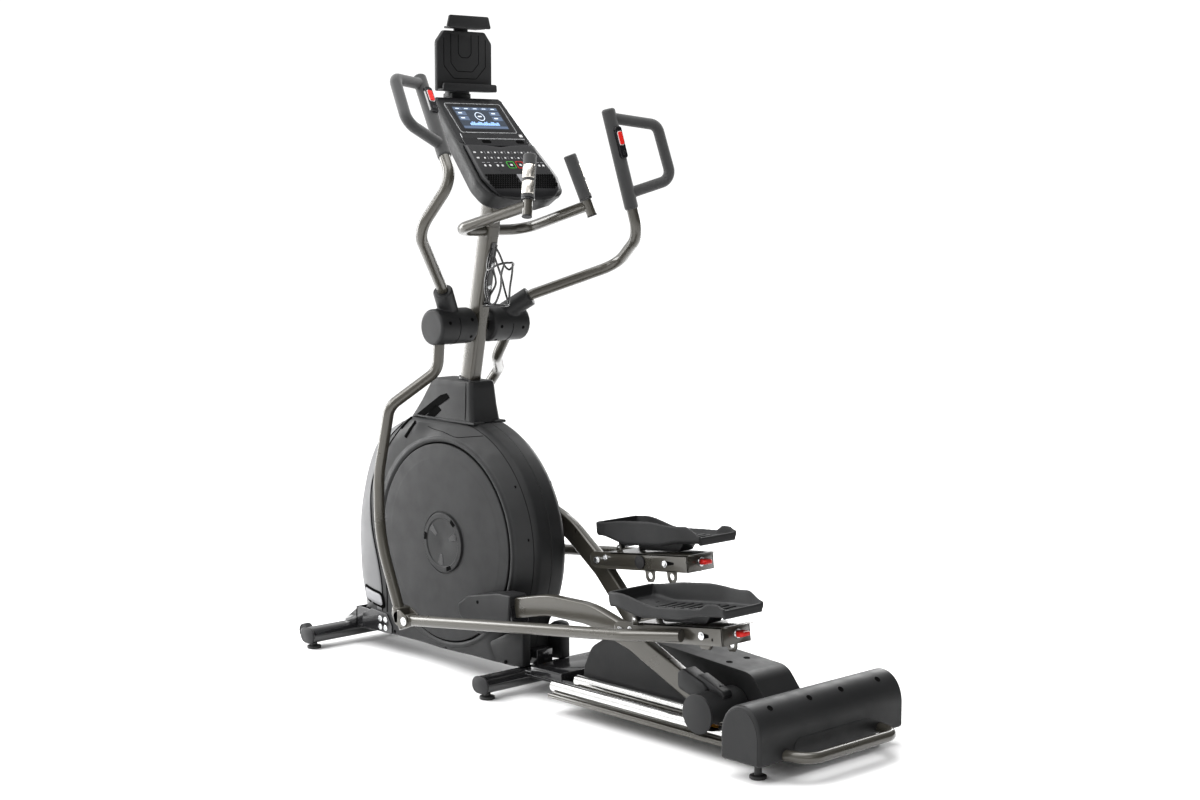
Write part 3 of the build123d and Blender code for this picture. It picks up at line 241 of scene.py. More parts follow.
def smooth_line(points, per_run=10):
    """A Catmull-Rom curve through the points."""
    points = [Vector(p) for p in points]
    padded = [2 * points[0] - points[1]] + points + [2 * points[-1] - points[-2]]
    result = []
    for a, b, c, d in zip(padded, padded[1:], padded[2:], padded[3:]):
        for k in range(per_run):
            t = k / per_run
            result.append(0.5 * (2 * b + (c - a) * t + (2 * a - 5 * b + 4 * c - d) * t * t
                                 + (3 * b - a - 3 * c + d) * t ** 3))
    return result + [points[-1]]


def prism(name, place, outline, x0, x1, bevel=0, segments=3):
    """A flat outline in a side frame, from distance x0 to x1 from the middle."""
    obj = loft(name, [[place.point(x, p[0], p[1]) for p in outline] for x in (x0, x1)])
    return soften(obj, bevel, segments) if bevel else obj


def block(name, low, high, bevel=0, segments=3):
    """A box between two corners."""
    outline = [(low[1], low[2]), (high[1], low[2]), (high[1], high[2]), (low[1], high[2])]
    return prism(name, MIDDLE, outline, low[0], high[0], bevel, segments)


def sweep(name, path, section, side_axis=None):
    """A closed section carried along a path. The section's first axis stays on side_axis when one is given."""
    rows, last = [], len(path) - 1
    across = None
    for i, place in enumerate(path):
        heading = (path[min(i + 1, last)] - path[max(i - 1, 0)]).normalized()
        if side_axis is not None:
            across = Vector(side_axis)
        elif across is None:
            across = heading.orthogonal()
        across = (across - heading * across.dot(heading)).normalized()
        upward = heading.cross(across)
        rows.append([place + (across * a + upward * b) for a, b in section])
    return loft(name, rows)


def circle(radius, sides=32):
    return [(radius * cos(2 * pi * i / sides), radius * sin(2 * pi * i / sides)) for i in range(sides)]


def rounded_box(width, height, corner, step=15):
    w, h = width / 2, height / 2
    return [tuple(p) for p in rounded([(-w, -h), (w, -h), (w, h), (-w, h)], corner, closed=True, step=step)]


def tube(name, points, radii, radius, sides=32):
    """A round bar or tube along straight runs joined by arcs."""
    path = rounded(points, radii, step=4) if radii is not None else [Vector(p) for p in points]
    return sweep(name, path, circle(radius, sides))


def rod(name, start, end, radius, sides=32, edge=0):
    """A straight bar, its end edges rounded."""
    start, end = Vector(start), Vector(end)
    axis = (end - start).normalized()
    profile = [(0, radius - edge), (edge, radius)] if edge else [(0, radius)]
    length = (end - start).length
    full = [(0, 0)] + profile + [(length - d, r) for d, r in reversed(profile)] + [(length, 0)]
    return lathe(name, start, axis, full, sides)


def lathe(name, origin, axis, profile, steps=64, sharp=35):
    """A profile of (distance along the axis, radius) turned round the axis. Radius 0 closes an end."""
    origin, axis = Vector(origin), Vector(axis).normalized()
    across = axis.orthogonal().normalized()
    upward = axis.cross(across)
    verts, faces, rings = [], [], []
    for distance, radius in profile:
        centre = origin + axis * distance
        if radius == 0:
            rings.append([len(verts)])
            verts.append(centre)
        else:
            rings.append(list(range(len(verts), len(verts) + steps)))
            verts += [centre + (across * cos(2 * pi * k / steps) + upward * sin(2 * pi * k / steps)) * radius
                      for k in range(steps)]
    for a, b in zip(rings, rings[1:]):
        for k in range(steps):
            quad = [a[k % len(a)], a[(k + 1) % len(a)], b[(k + 1) % len(b)], b[k % len(b)]]
            faces.append(tuple(dict.fromkeys(quad)))
    return build(name, verts, [f for f in faces if len(f) > 2], sharp)


def disc(name, place, x0, x1, radius, along=0, up=0, edge=1.5, steps=64):
    """A turned disc along X in a side frame."""
    start = place.point(x0, along, up)
    length = abs(x1 - x0)
    direction = (place.side * (1 if x1 > x0 else -1), 0, 0)
    near = [(0, 0), (0, radius - edge), (edge * 0.3, radius - edge * 0.3), (edge, radius)]
    profile = near + [(length - depth, reach) for depth, reach in reversed(near)]
    return lathe(name, start, direction, profile, steps)


def ring_shell(name, place, x0, x1, outer, inner, a0, a1, bevel=0.8, steps=36):
    """Part of a hollow cylinder along X, between two angles."""
    outline = [polar((0, 0), outer, a0 + (a1 - a0) * k / steps) for k in range(steps + 1)]
    outline += [polar((0, 0), inner, a1 - (a1 - a0) * k / steps) for k in range(steps + 1)]
    return prism(name, place, outline, x0, x1, bevel, 2)

# ---------------------------------------------------------------- materials


class Shader:
    """A node material on one Principled shader, with helpers for the detail that drives it."""

    def __init__(self, name, rough=0.5, metallic=0.0, **sockets):
        self.material = bpy.data.materials.new(name)
        self.material.use_nodes = True
        self.tree = self.material.node_tree
        self.surface = self.tree.nodes["Principled BSDF"]
        self.surface.inputs["Roughness"].default_value = rough
        self.surface.inputs["Metallic"].default_value = metallic
        for key, value in sockets.items():
            self.surface.inputs[key.replace("_", " ")].default_value = value
        self.place = self.tree.nodes.new("ShaderNodeTexCoord").outputs["Object"]
        self.height = None

    def node(self, kind, **values):
        made = self.tree.nodes.new(kind)
        for key, value in values.items():
            if key in made.inputs:
                made.inputs[key].default_value = value
            else:
                setattr(made, key, value)
        return made

    def link(self, source, target):
        self.tree.links.new(source, target)

    def stretched(self, scale):
        mapping = self.node("ShaderNodeMapping")
        mapping.inputs["Scale"].default_value = scale
        self.link(self.place, mapping.inputs["Vector"])
        return mapping.outputs["Vector"]

    def noise(self, scale, detail=3.0, source=None):
        made = self.node("ShaderNodeTexNoise", Scale=scale, Detail=detail)
        self.link(source or self.place, made.inputs["Vector"])
        return made.outputs["Fac"]

    def cells(self, scale, feature="F1", source=None):
        made = self.node("ShaderNodeTexVoronoi", Scale=scale)
        made.feature = feature
        self.link(source or self.place, made.inputs["Vector"])
        return made.outputs["Distance"]

    def ramp(self, source, stops):
        made = self.node("ShaderNodeValToRGB")
        elements = made.color_ramp.elements
        while len(elements) < len(stops):
            elements.new(0.5)
        for element, (where, color) in zip(elements, stops):
            element.position = where
            element.color = (*color, 1.0)
        self.link(source, made.inputs["Fac"])
        return made.outputs["Color"]

    def vary_color(self, color, spread=0.18, scale=14.0, detail=4.0):
        """Colour that drifts a little either side of its mean."""
        stops = [(0.3, [c * (1 - spread) for c in color]), (0.7, [c * (1 + spread) for c in color])]
        out = self.ramp(self.noise(scale, detail), stops)
        self.link(out, self.surface.inputs["Base Color"])
        return self

    def vary_rough(self, low, high, scale=30.0):
        spread = self.node("ShaderNodeMapRange")
        spread.inputs["From Min"].default_value = 0.3
        spread.inputs["From Max"].default_value = 0.7
        spread.inputs["To Min"].default_value = low
        spread.inputs["To Max"].default_value = high
        self.link(self.noise(scale, 5.0), spread.inputs["Value"])
        self.link(spread.outputs["Result"], self.surface.inputs["Roughness"])
        return self

    def relief(self, source, depth, strength=1.0):
        """Adds a bump of that depth in millimetres."""
        bump = self.node("ShaderNodeBump")
        bump.inputs["Distance"].default_value = depth * MM
        bump.inputs["Strength"].default_value = strength
        self.link(source, bump.inputs["Height"])
        if self.height is not None:
            self.link(self.height, bump.inputs["Normal"])
        self.height = bump.outputs["Normal"]
        self.link(self.height, self.surface.inputs["Normal"])
        return self


def moulded(name, color, low=0.42, high=0.56, grain=900.0, depth=0.05, shine=0.25):
    """Moulded plastic: a fine spark-eroded grain, slightly uneven sheen."""
    shader = Shader(name, IOR=1.5, Specular_IOR_Level=shine)
    shader.vary_color(color, 0.10, 9.0).vary_rough(low, high, 22.0)
    shader.relief(shader.noise(grain, 2.0), depth, 0.5)
    return shader.material


def painted(name, color, metallic=0.3, low=0.2, high=0.28):
    """Gloss powder coat: fine metal flake under a clear coat, with faint orange peel."""
    shader = Shader(name, metallic=metallic, Coat_Weight=0.5, Coat_Roughness=0.1)
    shader.vary_color(color, 0.07, 900.0, 1.0)
    shader.vary_rough(low, high, 12.0)
    shader.relief(shader.noise(90.0, 1.0), 0.01, 0.1)
    return shader.material


def metal(name, color, low, high, streak, coat=0.0):
    """Bare or plated steel with fine streaks along one axis."""
    shader = Shader(name, metallic=1.0, Coat_Weight=coat)
    shader.vary_color(color, 0.06, 30.0)
    shader.vary_rough(low, high, 60.0)
    shader.relief(shader.noise(1.0, 3.0, shader.stretched(streak)), 0.02, 0.3)
    return shader.material


def foam_skin(name, color):
    """Closed-cell foam: matt, with a pebbled skin."""
    shader = Shader(name, rough=0.8, IOR=1.45, Sheen_Weight=0.25, Sheen_Roughness=0.6)
    shader.vary_color(color, 0.16, 45.0, 6.0)
    shader.relief(shader.cells(420.0), 0.10, 0.5)
    shader.relief(shader.noise(1100.0, 3.0), 0.06, 0.5)
    return shader.material


def rubbery(name, color, grain=700.0):
    shader = Shader(name, rough=0.6, IOR=1.5)
    shader.vary_color(color, 0.15, 16.0).vary_rough(0.5, 0.68, 35.0)
    shader.relief(shader.noise(grain, 3.0), 0.08, 0.6)
    return shader.material


def glowing(name, color, strength):
    """Part of a lit screen, with a slight pixel texture."""
    shader = Shader(name, rough=0.2, Emission_Strength=strength)
    shader.vary_color([c * 0.5 for c in color], 0.1, 60.0)
    lit = shader.ramp(shader.noise(320.0, 1.0), [(0.3, [c * 0.85 for c in color]), (0.7, color)])
    shader.link(lit, shader.surface.inputs["Emission Color"])
    return shader.material


BRONZE = (0.05, 0.046, 0.037)
MATERIALS = {
    "frame_paint": painted("bronze_paint", BRONZE, 0.35, 0.26, 0.34),
    "black_paint": painted("black_paint", (0.012, 0.012, 0.013), 0.2, 0.12, 0.2),
    "rail_steel": metal("rail_steel", (0.78, 0.78, 0.77), 0.1, 0.16, (500.0, 3.0, 500.0)),
    "dark_steel": metal("dark_steel", (0.3, 0.3, 0.31), 0.3, 0.45, (12.0, 1800.0, 1800.0)),
    "zinc": metal("zinc", (0.72, 0.73, 0.74), 0.18, 0.32, (900.0, 900.0, 900.0)),
    "cast_disc": metal("cast_iron", (0.16, 0.16, 0.165), 0.45, 0.6, (500.0, 500.0, 500.0)),
    "pulley_alu": metal("cast_aluminium", (0.55, 0.55, 0.56), 0.35, 0.5, (700.0, 700.0, 700.0)),
    "shell_dark": moulded("charcoal_plastic", (0.0118, 0.012, 0.0125)),
    # painted highlight: this lighter grey stands in for rim light on the shroud's curved nose
    "nose_painted_highlight": moulded("painted_highlight_grey", (0.13, 0.131, 0.134), 0.34, 0.46),
    "disc_plastic": moulded("disc_plastic", (0.0135, 0.0137, 0.0142), 0.46, 0.6),
    "gloss_black": moulded("gloss_black", (0.008, 0.008, 0.009), 0.1, 0.2, 300.0, 0.01, 0.4),
    "face_plastic": moulded("face_plastic", (0.0125, 0.0125, 0.0135), 0.26, 0.36, 500.0, 0.02),
    "caps_plastic": moulded("cap_plastic", (0.013, 0.013, 0.014), 0.35, 0.5),
    "pedal_rubber": moulded("pedal_plastic", (0.0125, 0.0127, 0.0132), 0.45, 0.6, 520.0, 0.08),
    "foot_rubber": rubbery("foot_rubber", (0.012, 0.012, 0.0125)),
    "belt_rubber": rubbery("belt_rubber", (0.012, 0.012, 0.012)),
    "foam": foam_skin("grip_foam", (0.0125, 0.0127, 0.0132)),
    "red_plastic": moulded("red_plastic", (0.62, 0.018, 0.014), 0.25, 0.36, 500.0, 0.02),
    "silver_trim": metal("silver_trim", (0.62, 0.63, 0.64), 0.22, 0.34, (400.0, 400.0, 400.0)),
    "pulse_plate": metal("pulse_plate", (0.78, 0.74, 0.68), 0.2, 0.32, (300.0, 300.0, 1500.0)),
    "print_white": moulded("print_white", (0.62, 0.62, 0.62), 0.4, 0.5, 800.0, 0.01),
    "print_grey": moulded("print_grey", (0.24, 0.24, 0.25), 0.4, 0.5, 800.0, 0.01),
    "print_green": moulded("print_green", (0.06, 0.42, 0.05), 0.4, 0.5, 800.0, 0.01),
    "screen_back": glowing("screen_back", (0.03, 0.042, 0.062), 0.8),
    "screen_tile": glowing("screen_tile", (0.085, 0.12, 0.19), 1.0),
    "screen_blue": glowing("screen_blue", (0.3, 0.5, 0.95), 1.3),
    "screen_pale": glowing("screen_pale", (0.7, 0.8, 0.95), 1.0),
    "motor_metal": painted("motor_enamel", (0.06, 0.06, 0.062), 0.3),
    "wire_black": painted("coated_wire", (0.009, 0.009, 0.0095), 0.1),
    # painted shade: near-black with almost no sheen, laid in holes, slots and grooves in place of the shade they would
    # hold
    "recess": moulded("recess_painted_shade", (0.002, 0.002, 0.002), 0.7, 0.85, shine=0.02),
}


def green_board():
    shader = Shader("circuit_board", rough=0.4)
    shader.link(shader.ramp(shader.cells(180.0), [(0.1, (0.25, 0.2, 0.05)), (0.25, (0.01, 0.09, 0.03))]),
                shader.surface.inputs["Base Color"])
    return shader.material


def amber_urethane():
    shader = Shader("amber_urethane", rough=0.3, IOR=1.5, Transmission_Weight=0.15, Coat_Weight=0.3)
    shader.vary_color((0.62, 0.27, 0.02), 0.14, 25.0).vary_rough(0.25, 0.42, 60.0)
    shader.relief(shader.noise(300.0, 3.0), 0.05, 0.4)
    return shader.material


MATERIALS["board_green"] = green_board()
MATERIALS["roller_urethane"] = amber_urethane()
MATERIALS["screen"] = MATERIALS["screen_back"]


def finish(obj, material, body, *stands_for, slot=None):
    """Gives a piece its material and its body, and hides the model nodes it stands for."""
    obj.data.materials.clear()
    obj.data.materials.append(MATERIALS[material])
    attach(obj, body)
    if stands_for:
        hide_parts(*stands_for)
    return obj


def bolt(name, origin, axis, radius, body="root", height=5, kind="hex"):
    """A zinc bolt head with a washer and a socket or slot."""
    washer = [(0, 0), (0, radius * 1.45), (1.1, radius * 1.45), (1.4, radius * 1.3), (1.4, 0)]
    if kind == "hex":
        head, sides, sharp = [(1.2, radius), (height - 0.8, radius), (height, radius * 0.86),
                              (height, radius * 0.35), (height - 1.4, radius * 0.3), (height - 1.4, 0)], 6, 20
    else:
        head, sides, sharp = [(1.2, radius), (height * 0.5, radius * 0.96), (height * 0.85, radius * 0.75),
                              (height, radius * 0.48), (height * 0.55, radius * 0.42), (height * 0.5, 0)], 32, 30
    pieces = [lathe(name + "_w", origin, axis, washer, 32), lathe(name + "_h", origin, axis, head, sides, sharp)]
    return finish(join(name, pieces), "zinc", body, slot="dark_steel")


def hole_cup(name, origin, axis, radius, body="root"):
    """A screw recess as painted shade: a near-black disc with a thin rim, just proud of its surface."""
    profile = [(-1.2, 0), (-1.2, radius), (0.5, radius), (0.75, radius * 0.9), (0.45, radius * 0.8), (0.4, 0)]
    return finish(lathe(name, origin, axis, profile, 28), "recess", body)


for row in frame["record"]["subparts"]:
    node = NODES[row["node"]]
    node.data.materials.clear()
    node.data.materials.append(MATERIALS[row["material_slot"]])

# ---------------------------------------------------------------- shroud
SHROUD_HALF, SHELL_R, RING_OUT, RING_IN, RECESS_R, RECESS_X = 94, 370, 313, 300, 298, 84
NOSE_LINE = smooth_line([(925, 126, 0), (952, 250, 0), (945, 440, 0), (860, 640, 0), (690, 740, 0)])
NOSE_DEPTH = 165
SHELL_LINE = [polar(CRANK, SHELL_R, 106.4 + 3 * k) for k in range(37)]
SHELL_LINE += [(160, 62), (828, 62), (828, 126)] + [(p.x, p.y) for p in NOSE_LINE] + [(355, 740)]


def line_reach(angle):
    """How far the shroud's outline is from the crank, at an angle."""
    direction = Vector((cos(radians(angle)), sin(radians(angle))))
    best = 0
    for a, b in zip(SHELL_LINE, SHELL_LINE[1:] + SHELL_LINE[:1]):
        start, run = Vector(a) - Vector(CRANK), Vector(b) - Vector(a)
        across = direction.x * run.y - direction.y * run.x
        if abs(across) < 1e-9:
            continue
        reach = (start.x * run.y - start.y * run.x) / across
        share = (start.x * direction.y - start.y * direction.x) / across
        if reach > 0 and -1e-6 <= share <= 1 + 1e-6:
            best = max(best, reach)
    return best


def nose_front(z):
    """The outline's foremost Y at a height."""
    z = min(max(z, NOSE_LINE[0].y), NOSE_LINE[-1].y)
    for a, b in zip(NOSE_LINE, NOSE_LINE[1:]):
        if a.y <= z <= b.y:
            return a.x + (b.x - a.x) * (z - a.y) / (b.y - a.y)
    return NOSE_LINE[-1].x


def ease(value, low, high):
    share = min(max((value - low) / (high - low), 0), 1)
    return share * share * (3 - 2 * share)


def shell_width(y, z):
    """Half the shroud's width at a place in side view."""
    reach = hypot(y - CRANK[0], z - CRANK[1])
    angle = degrees(atan2(z - CRANK[1], y - CRANK[0])) % 360
    width = SHROUD_HALF
    if reach > 315:
        width -= ease(angle, 66, 92) * (1 - ease(angle, 222, 236)) * min((reach - 315) * 0.8, 44)
    front = nose_front(z)
    if y > front - NOSE_DEPTH and angle < 80 or angle > 328:
        share = min(max((y - front + NOSE_DEPTH) / NOSE_DEPTH, 0), 1)
        width = min(width, SHROUD_HALF * sqrt(1 - share ** 2.2))
    return width


def shell_half(name, side):
    """One half of the drive shroud, from the disc's recess out to the middle seam."""
    corners = [degrees(atan2(z - CRANK[1], y - CRANK[0])) % 360 for y, z in [(160, 62), (828, 62), (828, 126),
                                                                              (925, 126), (355, 740), (690, 740)]]
    angles = sorted(set([1.5 * k for k in range(240)] + corners))
    rings = [(220, RECESS_X), (RECESS_R, RECESS_X), (RECESS_R, 93), (RECESS_R + 1, 94), (RING_IN, 94),
             (RING_IN + 1.5, 97), (RING_IN + 3, 98), (RING_OUT - 3, 98), (RING_OUT - 1, 96.5), (RING_OUT, 94)]
    verts = []
    for angle in angles:
        reach = line_reach(angle)
        edge = min(max(0.45 * (reach - 316), 2), 11)
        for radius, x in rings:
            verts.append((side * x, *polar(CRANK, radius, angle)))
        for k in range(1, 11):
            place = polar(CRANK, RING_OUT + (reach - edge - RING_OUT) * k / 10, angle)
            verts.append((side * shell_width(*place), *place))
        for tilt in (18, 36, 54, 72, 90):
            place = polar(CRANK, reach - edge + edge * sin(radians(tilt)), angle)
            width = shell_width(*place)
            verts.append((side * max(width - edge * (1 - cos(radians(tilt))), 0.3), *place))
        place = polar(CRANK, reach, angle)
        verts += [(side * min(1.6, verts[-1][0] * side), *place), (side * 0.3, *polar(CRANK, reach - 1.3, angle))]
    per = len(rings) + 17
    count = len(angles)
    faces = [(i * per + k, i * per + k + 1, (i + 1) % count * per + k + 1, (i + 1) % count * per + k)
             for i in range(count) for k in range(per - 1)]
    obj = build(name, verts, faces, 40)
    apply(obj, "WELD", merge_threshold=0.05 * MM)
    apply(obj, "SOLIDIFY", thickness=2.4 * MM, offset=-1)
    return obj


def on_shell(side, y, z, lift=0):
    return Vector((side * (shell_width(y, z) + lift), y, z))


NOSE_EDGE = smooth_line([(690, 716, 0), (765, 630, 0), (812, 545, 0), (826, 490, 0), (822, 420, 0), (812, 365, 0),
                         (782, 268, 0), (768, 200, 0), (768, 130, 0)], 8)
NOSE_RUN = 196


def nose_spot(side, z, run, lift):
    """A place on the nose's skin at a height, that far round the curve from where it starts to bend."""
    start = nose_front(z) - NOSE_DEPTH
    if run <= 0:
        return Vector((side * (SHROUD_HALF + lift), start + run, z))
    prior = Vector((SHROUD_HALF, start))
    for k in range(1, 61):
        share = sin(radians(1.5 * k))
        place = Vector((SHROUD_HALF * sqrt(1 - min(share, 1) ** 2.2), start + NOSE_DEPTH * share))
        step = (place - prior).length
        if run <= step or k == 60:
            along = (place - prior).normalized()
            spot = prior + along * min(run, step) + Vector((along.y, -along.x)) * lift
            return Vector((side * max(spot.x, 0.2), spot.y, z))
        run -= step
        prior = place


def seam(name, points, radius=0.9, material="recess", body="root"):
    """A joint line as painted shade: a fine near-black cord sunk half into the surface it follows, in place of a cut
    groove.
    """
    return finish(sweep(name, points, circle(radius, 8)), material, body)


for name, side in SIDES.items():
    shell = shell_half(f"shroud_shell_{name}", side)
    place = SideFrame(side)
    heel_line = outline_of([(160, 64), (114, 69), (114, 175), (150, 175), (175, 160), (300, 100), (300, 64)],
                           [4, 6, 14, 8, 20, 10, 4])
    heel = prism(f"shroud_heel_{name}", place, heel_line, 60, 91.5, 5)
    shell = join(f"shroud_half_{name}", [shell, heel], 40)
    finish(shell, "shell_dark", "root", f"shroud_{name}")
    saddle = smooth_line([(545, 722, 0), (520, 716, 0), (470, 711, 0), (410, 702, 0), (366, 706, 0), (318, 712, 0)],
                         8)
    seam(f"saddle_seam_{name}", [on_shell(side, p.x, p.y, 0.2) for p in saddle])
    for k, back in enumerate((0, 24)):
        groove = [nose_spot(side, p.y, p.x - back - nose_front(p.y) + NOSE_DEPTH, 0.2) for p in NOSE_EDGE]
        seam(f"nose_groove_{k}_{name}", groove, 1.8)
    # painted highlight: a lighter grey skin over the front of each half, standing in for the rim light caught by the
    # curved nose
    rows = []
    for p in NOSE_EDGE:
        start = p.x - nose_front(p.y) + NOSE_DEPTH
        rows.append([nose_spot(side, p.y, start + (NOSE_RUN - start) * k / 18, 0.8) for k in range(19)])
    panel = sheet(f"nose_highlight_panel_{name}", rows)
    apply(panel, "SOLIDIFY", thickness=1.2 * MM, offset=0)
    finish(panel, "nose_painted_highlight", "root", slot="shell_dark")
    for k, (y, z) in enumerate([(706, 74), (458, 66.5), (186, 72)]):
        hole_cup(f"shell_screw_{k}_{name}", (side * 93.8, y, z), (side, 0, 0), 5.5 if z > 70 else 3.4)
    # clips on the rear edge of the shell
    for k, angle in enumerate((146, 172)):
        spot = polar(CRANK, 348, angle)
        hole_cup(f"rear_clip_{k}_{name}", (side * (shell_width(*spot) + 0.4), *spot), (side, 0, 0), 4)
    # a second joint line just inside the rear edge
    inner = [polar(CRANK, 359, 100 + 3 * k) for k in range(37)]
    seam(f"band_seam_{name}", [on_shell(side, *p, 0.1) for p in inner], 0.8)

BADGE_Z, BADGE_RUN, BADGE_TILT = 168, 42, 0.12
# the badge rim is near-black, painted shade round the raised badge face
for label, half_long, half_high, lift, tint in (("badge_rim", 54, 25, 2.2, "recess"),
                                                ("badge_face", 46, 17, 4.2, "print_grey")):
    corner = half_high * 0.62
    outline = face_box(half_long, half_high, corner)
    rows = []
    for along in sorted({round(x, 2) for x, _ in outline} | {half_long * (k / 8 - 1) for k in range(17)}):
        inset = max(0, abs(along) - half_long + corner)
        reach = half_high - corner + sqrt(max(corner ** 2 - inset ** 2, 0))
        rows.append([nose_spot(-1, BADGE_Z + BADGE_TILT * along + up, BADGE_RUN + along, lift)
                     for up in (-reach, -reach / 3, reach / 3, reach)])
    patch = sheet(label, rows)
    apply(patch, "SOLIDIFY", thickness=2.4 * MM, offset=0)
    finish(patch, tint, "root", slot="caps_plastic")

# ---------------------------------------------------------------- cowl and mast
cowl = []
for z, y0, y1, half, corner in ((742, 372, 664, 57.5, 15), (752, 376, 655, 56, 15), (790, 382, 625, 52, 15),
                                (840, 387, 590, 48, 14), (857, 389, 578, 47, 14), (862, 393, 573, 43, 12)):
    centre, depth = (y0 + y1) / 2, (y1 - y0) / 2
    cowl.append([(x, y + centre, z) for x, y in face_box(half, depth, corner, 10)])
finish(loft("mast_shroud_cowl", cowl, 40), "shell_dark", "root", "mast_cowl")


def cowl_half(z):
    return 57.5 - (z - 742) * 0.088


for name, side in SIDES.items():
    # painted shade: the louvre slots are near-black sheets on the cowl and thick near-black cords on the shell, not
    # openings
    for k, slot_line in enumerate(([(640, 745), (602, 745), (486, 808), (500, 821), (528, 813)],
                                   [(590, 745), (552, 745), (520, 770), (546, 784)])):
        outer = [Vector((side * (cowl_half(z) + 0.7), y, z)) for y, z in slot_line]
        inner = [p - Vector((side * 4, 0, 0)) for p in outer]
        finish(loft(f"cowl_louvre_{k}_{name}", [outer, inner]), "recess", "root", slot="shell_dark")
    for k, line in enumerate(([(672, 704), (656, 722), (640, 737)], [(642, 682), (618, 708), (598, 730)])):
        seam(f"shell_louvre_{k}_{name}", [on_shell(side, y, z, -1.5) for y, z in line], 6)
    for k, y in enumerate((405, 392)):
        line = [(side * (cowl_half(z) - 0.2 - (2.5 if k else 0)), y + (742 - z) * -0.06 + 1, z)
                for z in (748, 790, 830, 858)]
        seam(f"cowl_seam_{k}_{name}", [Vector(p) for p in line], 0.7)
    lip = prism(f"cowl_skirt_{name}", SideFrame(side), [(360, 738), (560, 738), (640, 742), (640, 748), (360, 746)],
                20, 62, 3)
    finish(lip, "shell_dark", "root")

MAST_LEAN, MAST_FOOT, MAST_HEAD = -0.2, 800, 1440


def mast_place(z):
    return Vector((0, 446 + MAST_LEAN * (z - 873), z))


mast_section = rounded_box(40, 58, 11)
mast_tube = sweep("mast_tube", [mast_place(z) for z in (MAST_FOOT, 1000, 1200, MAST_HEAD)], mast_section, (1, 0, 0))
axle = rod("swing_axle", (-163, 420, 1027), (163, 420, 1027), 15, 40, 2)
finish(join("mast_and_axle", [mast_tube, axle]), "frame_paint", "root", "mast")
gasket = sweep("mast_gasket", [mast_place(z) for z in (858, 868)], rounded_box(50, 68, 13), (1, 0, 0))
finish(soften(gasket, 1.5), "gloss_black", "root")

# ---------------------------------------------------------------- crank discs
for name, side in SIDES.items():
    origin = (side * 88, *CRANK)
    profile = [(0, 0), (0, 291), (1.5, 293), (8.2, 293), (9.6, 291.6), (10.1, 289), (9.9, 262), (10.7, 254),
               (11, 250), (11, 94), (9, 93.4), (9, 89.2), (11, 88.4), (15.4, 88), (16.6, 86.4), (16.8, 74), (14.6, 71),
               (14.6, 16), (14, 13), (14, 0)]
    face = lathe(f"crank_disc_{name}", origin, (side, 0, 0), profile, 160, 25)
    boss_at = BAR[name]
    boss = disc(f"pin_boss_{name}", boss_at, 97, 101.5, 38, CRANK_RADIUS, 0, 1.5)
    finish(join(f"crank_disc_face_{name}", [face, boss], 25), "disc_plastic", "crank",
           *(["crank_discs"] if side < 0 else []))
    for k, turn in enumerate((8, 128, 248)):
        spoke = SideFrame(side, CRANK, turn + 30)
        notch = prism(f"hub_notch_{k}_{name}", spoke, [(34, -5), (66, -12), (69, 0), (66, 12), (34, 5)],
                      102.7, 103.4, 0.2)
        finish(notch, "gloss_black", "crank", slot="disc_plastic")
        # painted shade: the hub windows are thin near-black plates, not openings
        window = prism(f"hub_window_{k}_{name}", SideFrame(side, CRANK, turn),
                       [(73, -10), (85, -12), (85, 12), (73, 10)], 103.6, 105.05, 0.3)
        finish(window, "recess", "crank", slot="disc_plastic")
    stub = disc(f"crank_pin_cap_{name}", boss_at, 99, 150, 11, CRANK_RADIUS)
    finish(stub, "dark_steel", "crank", slot="dark_steel")

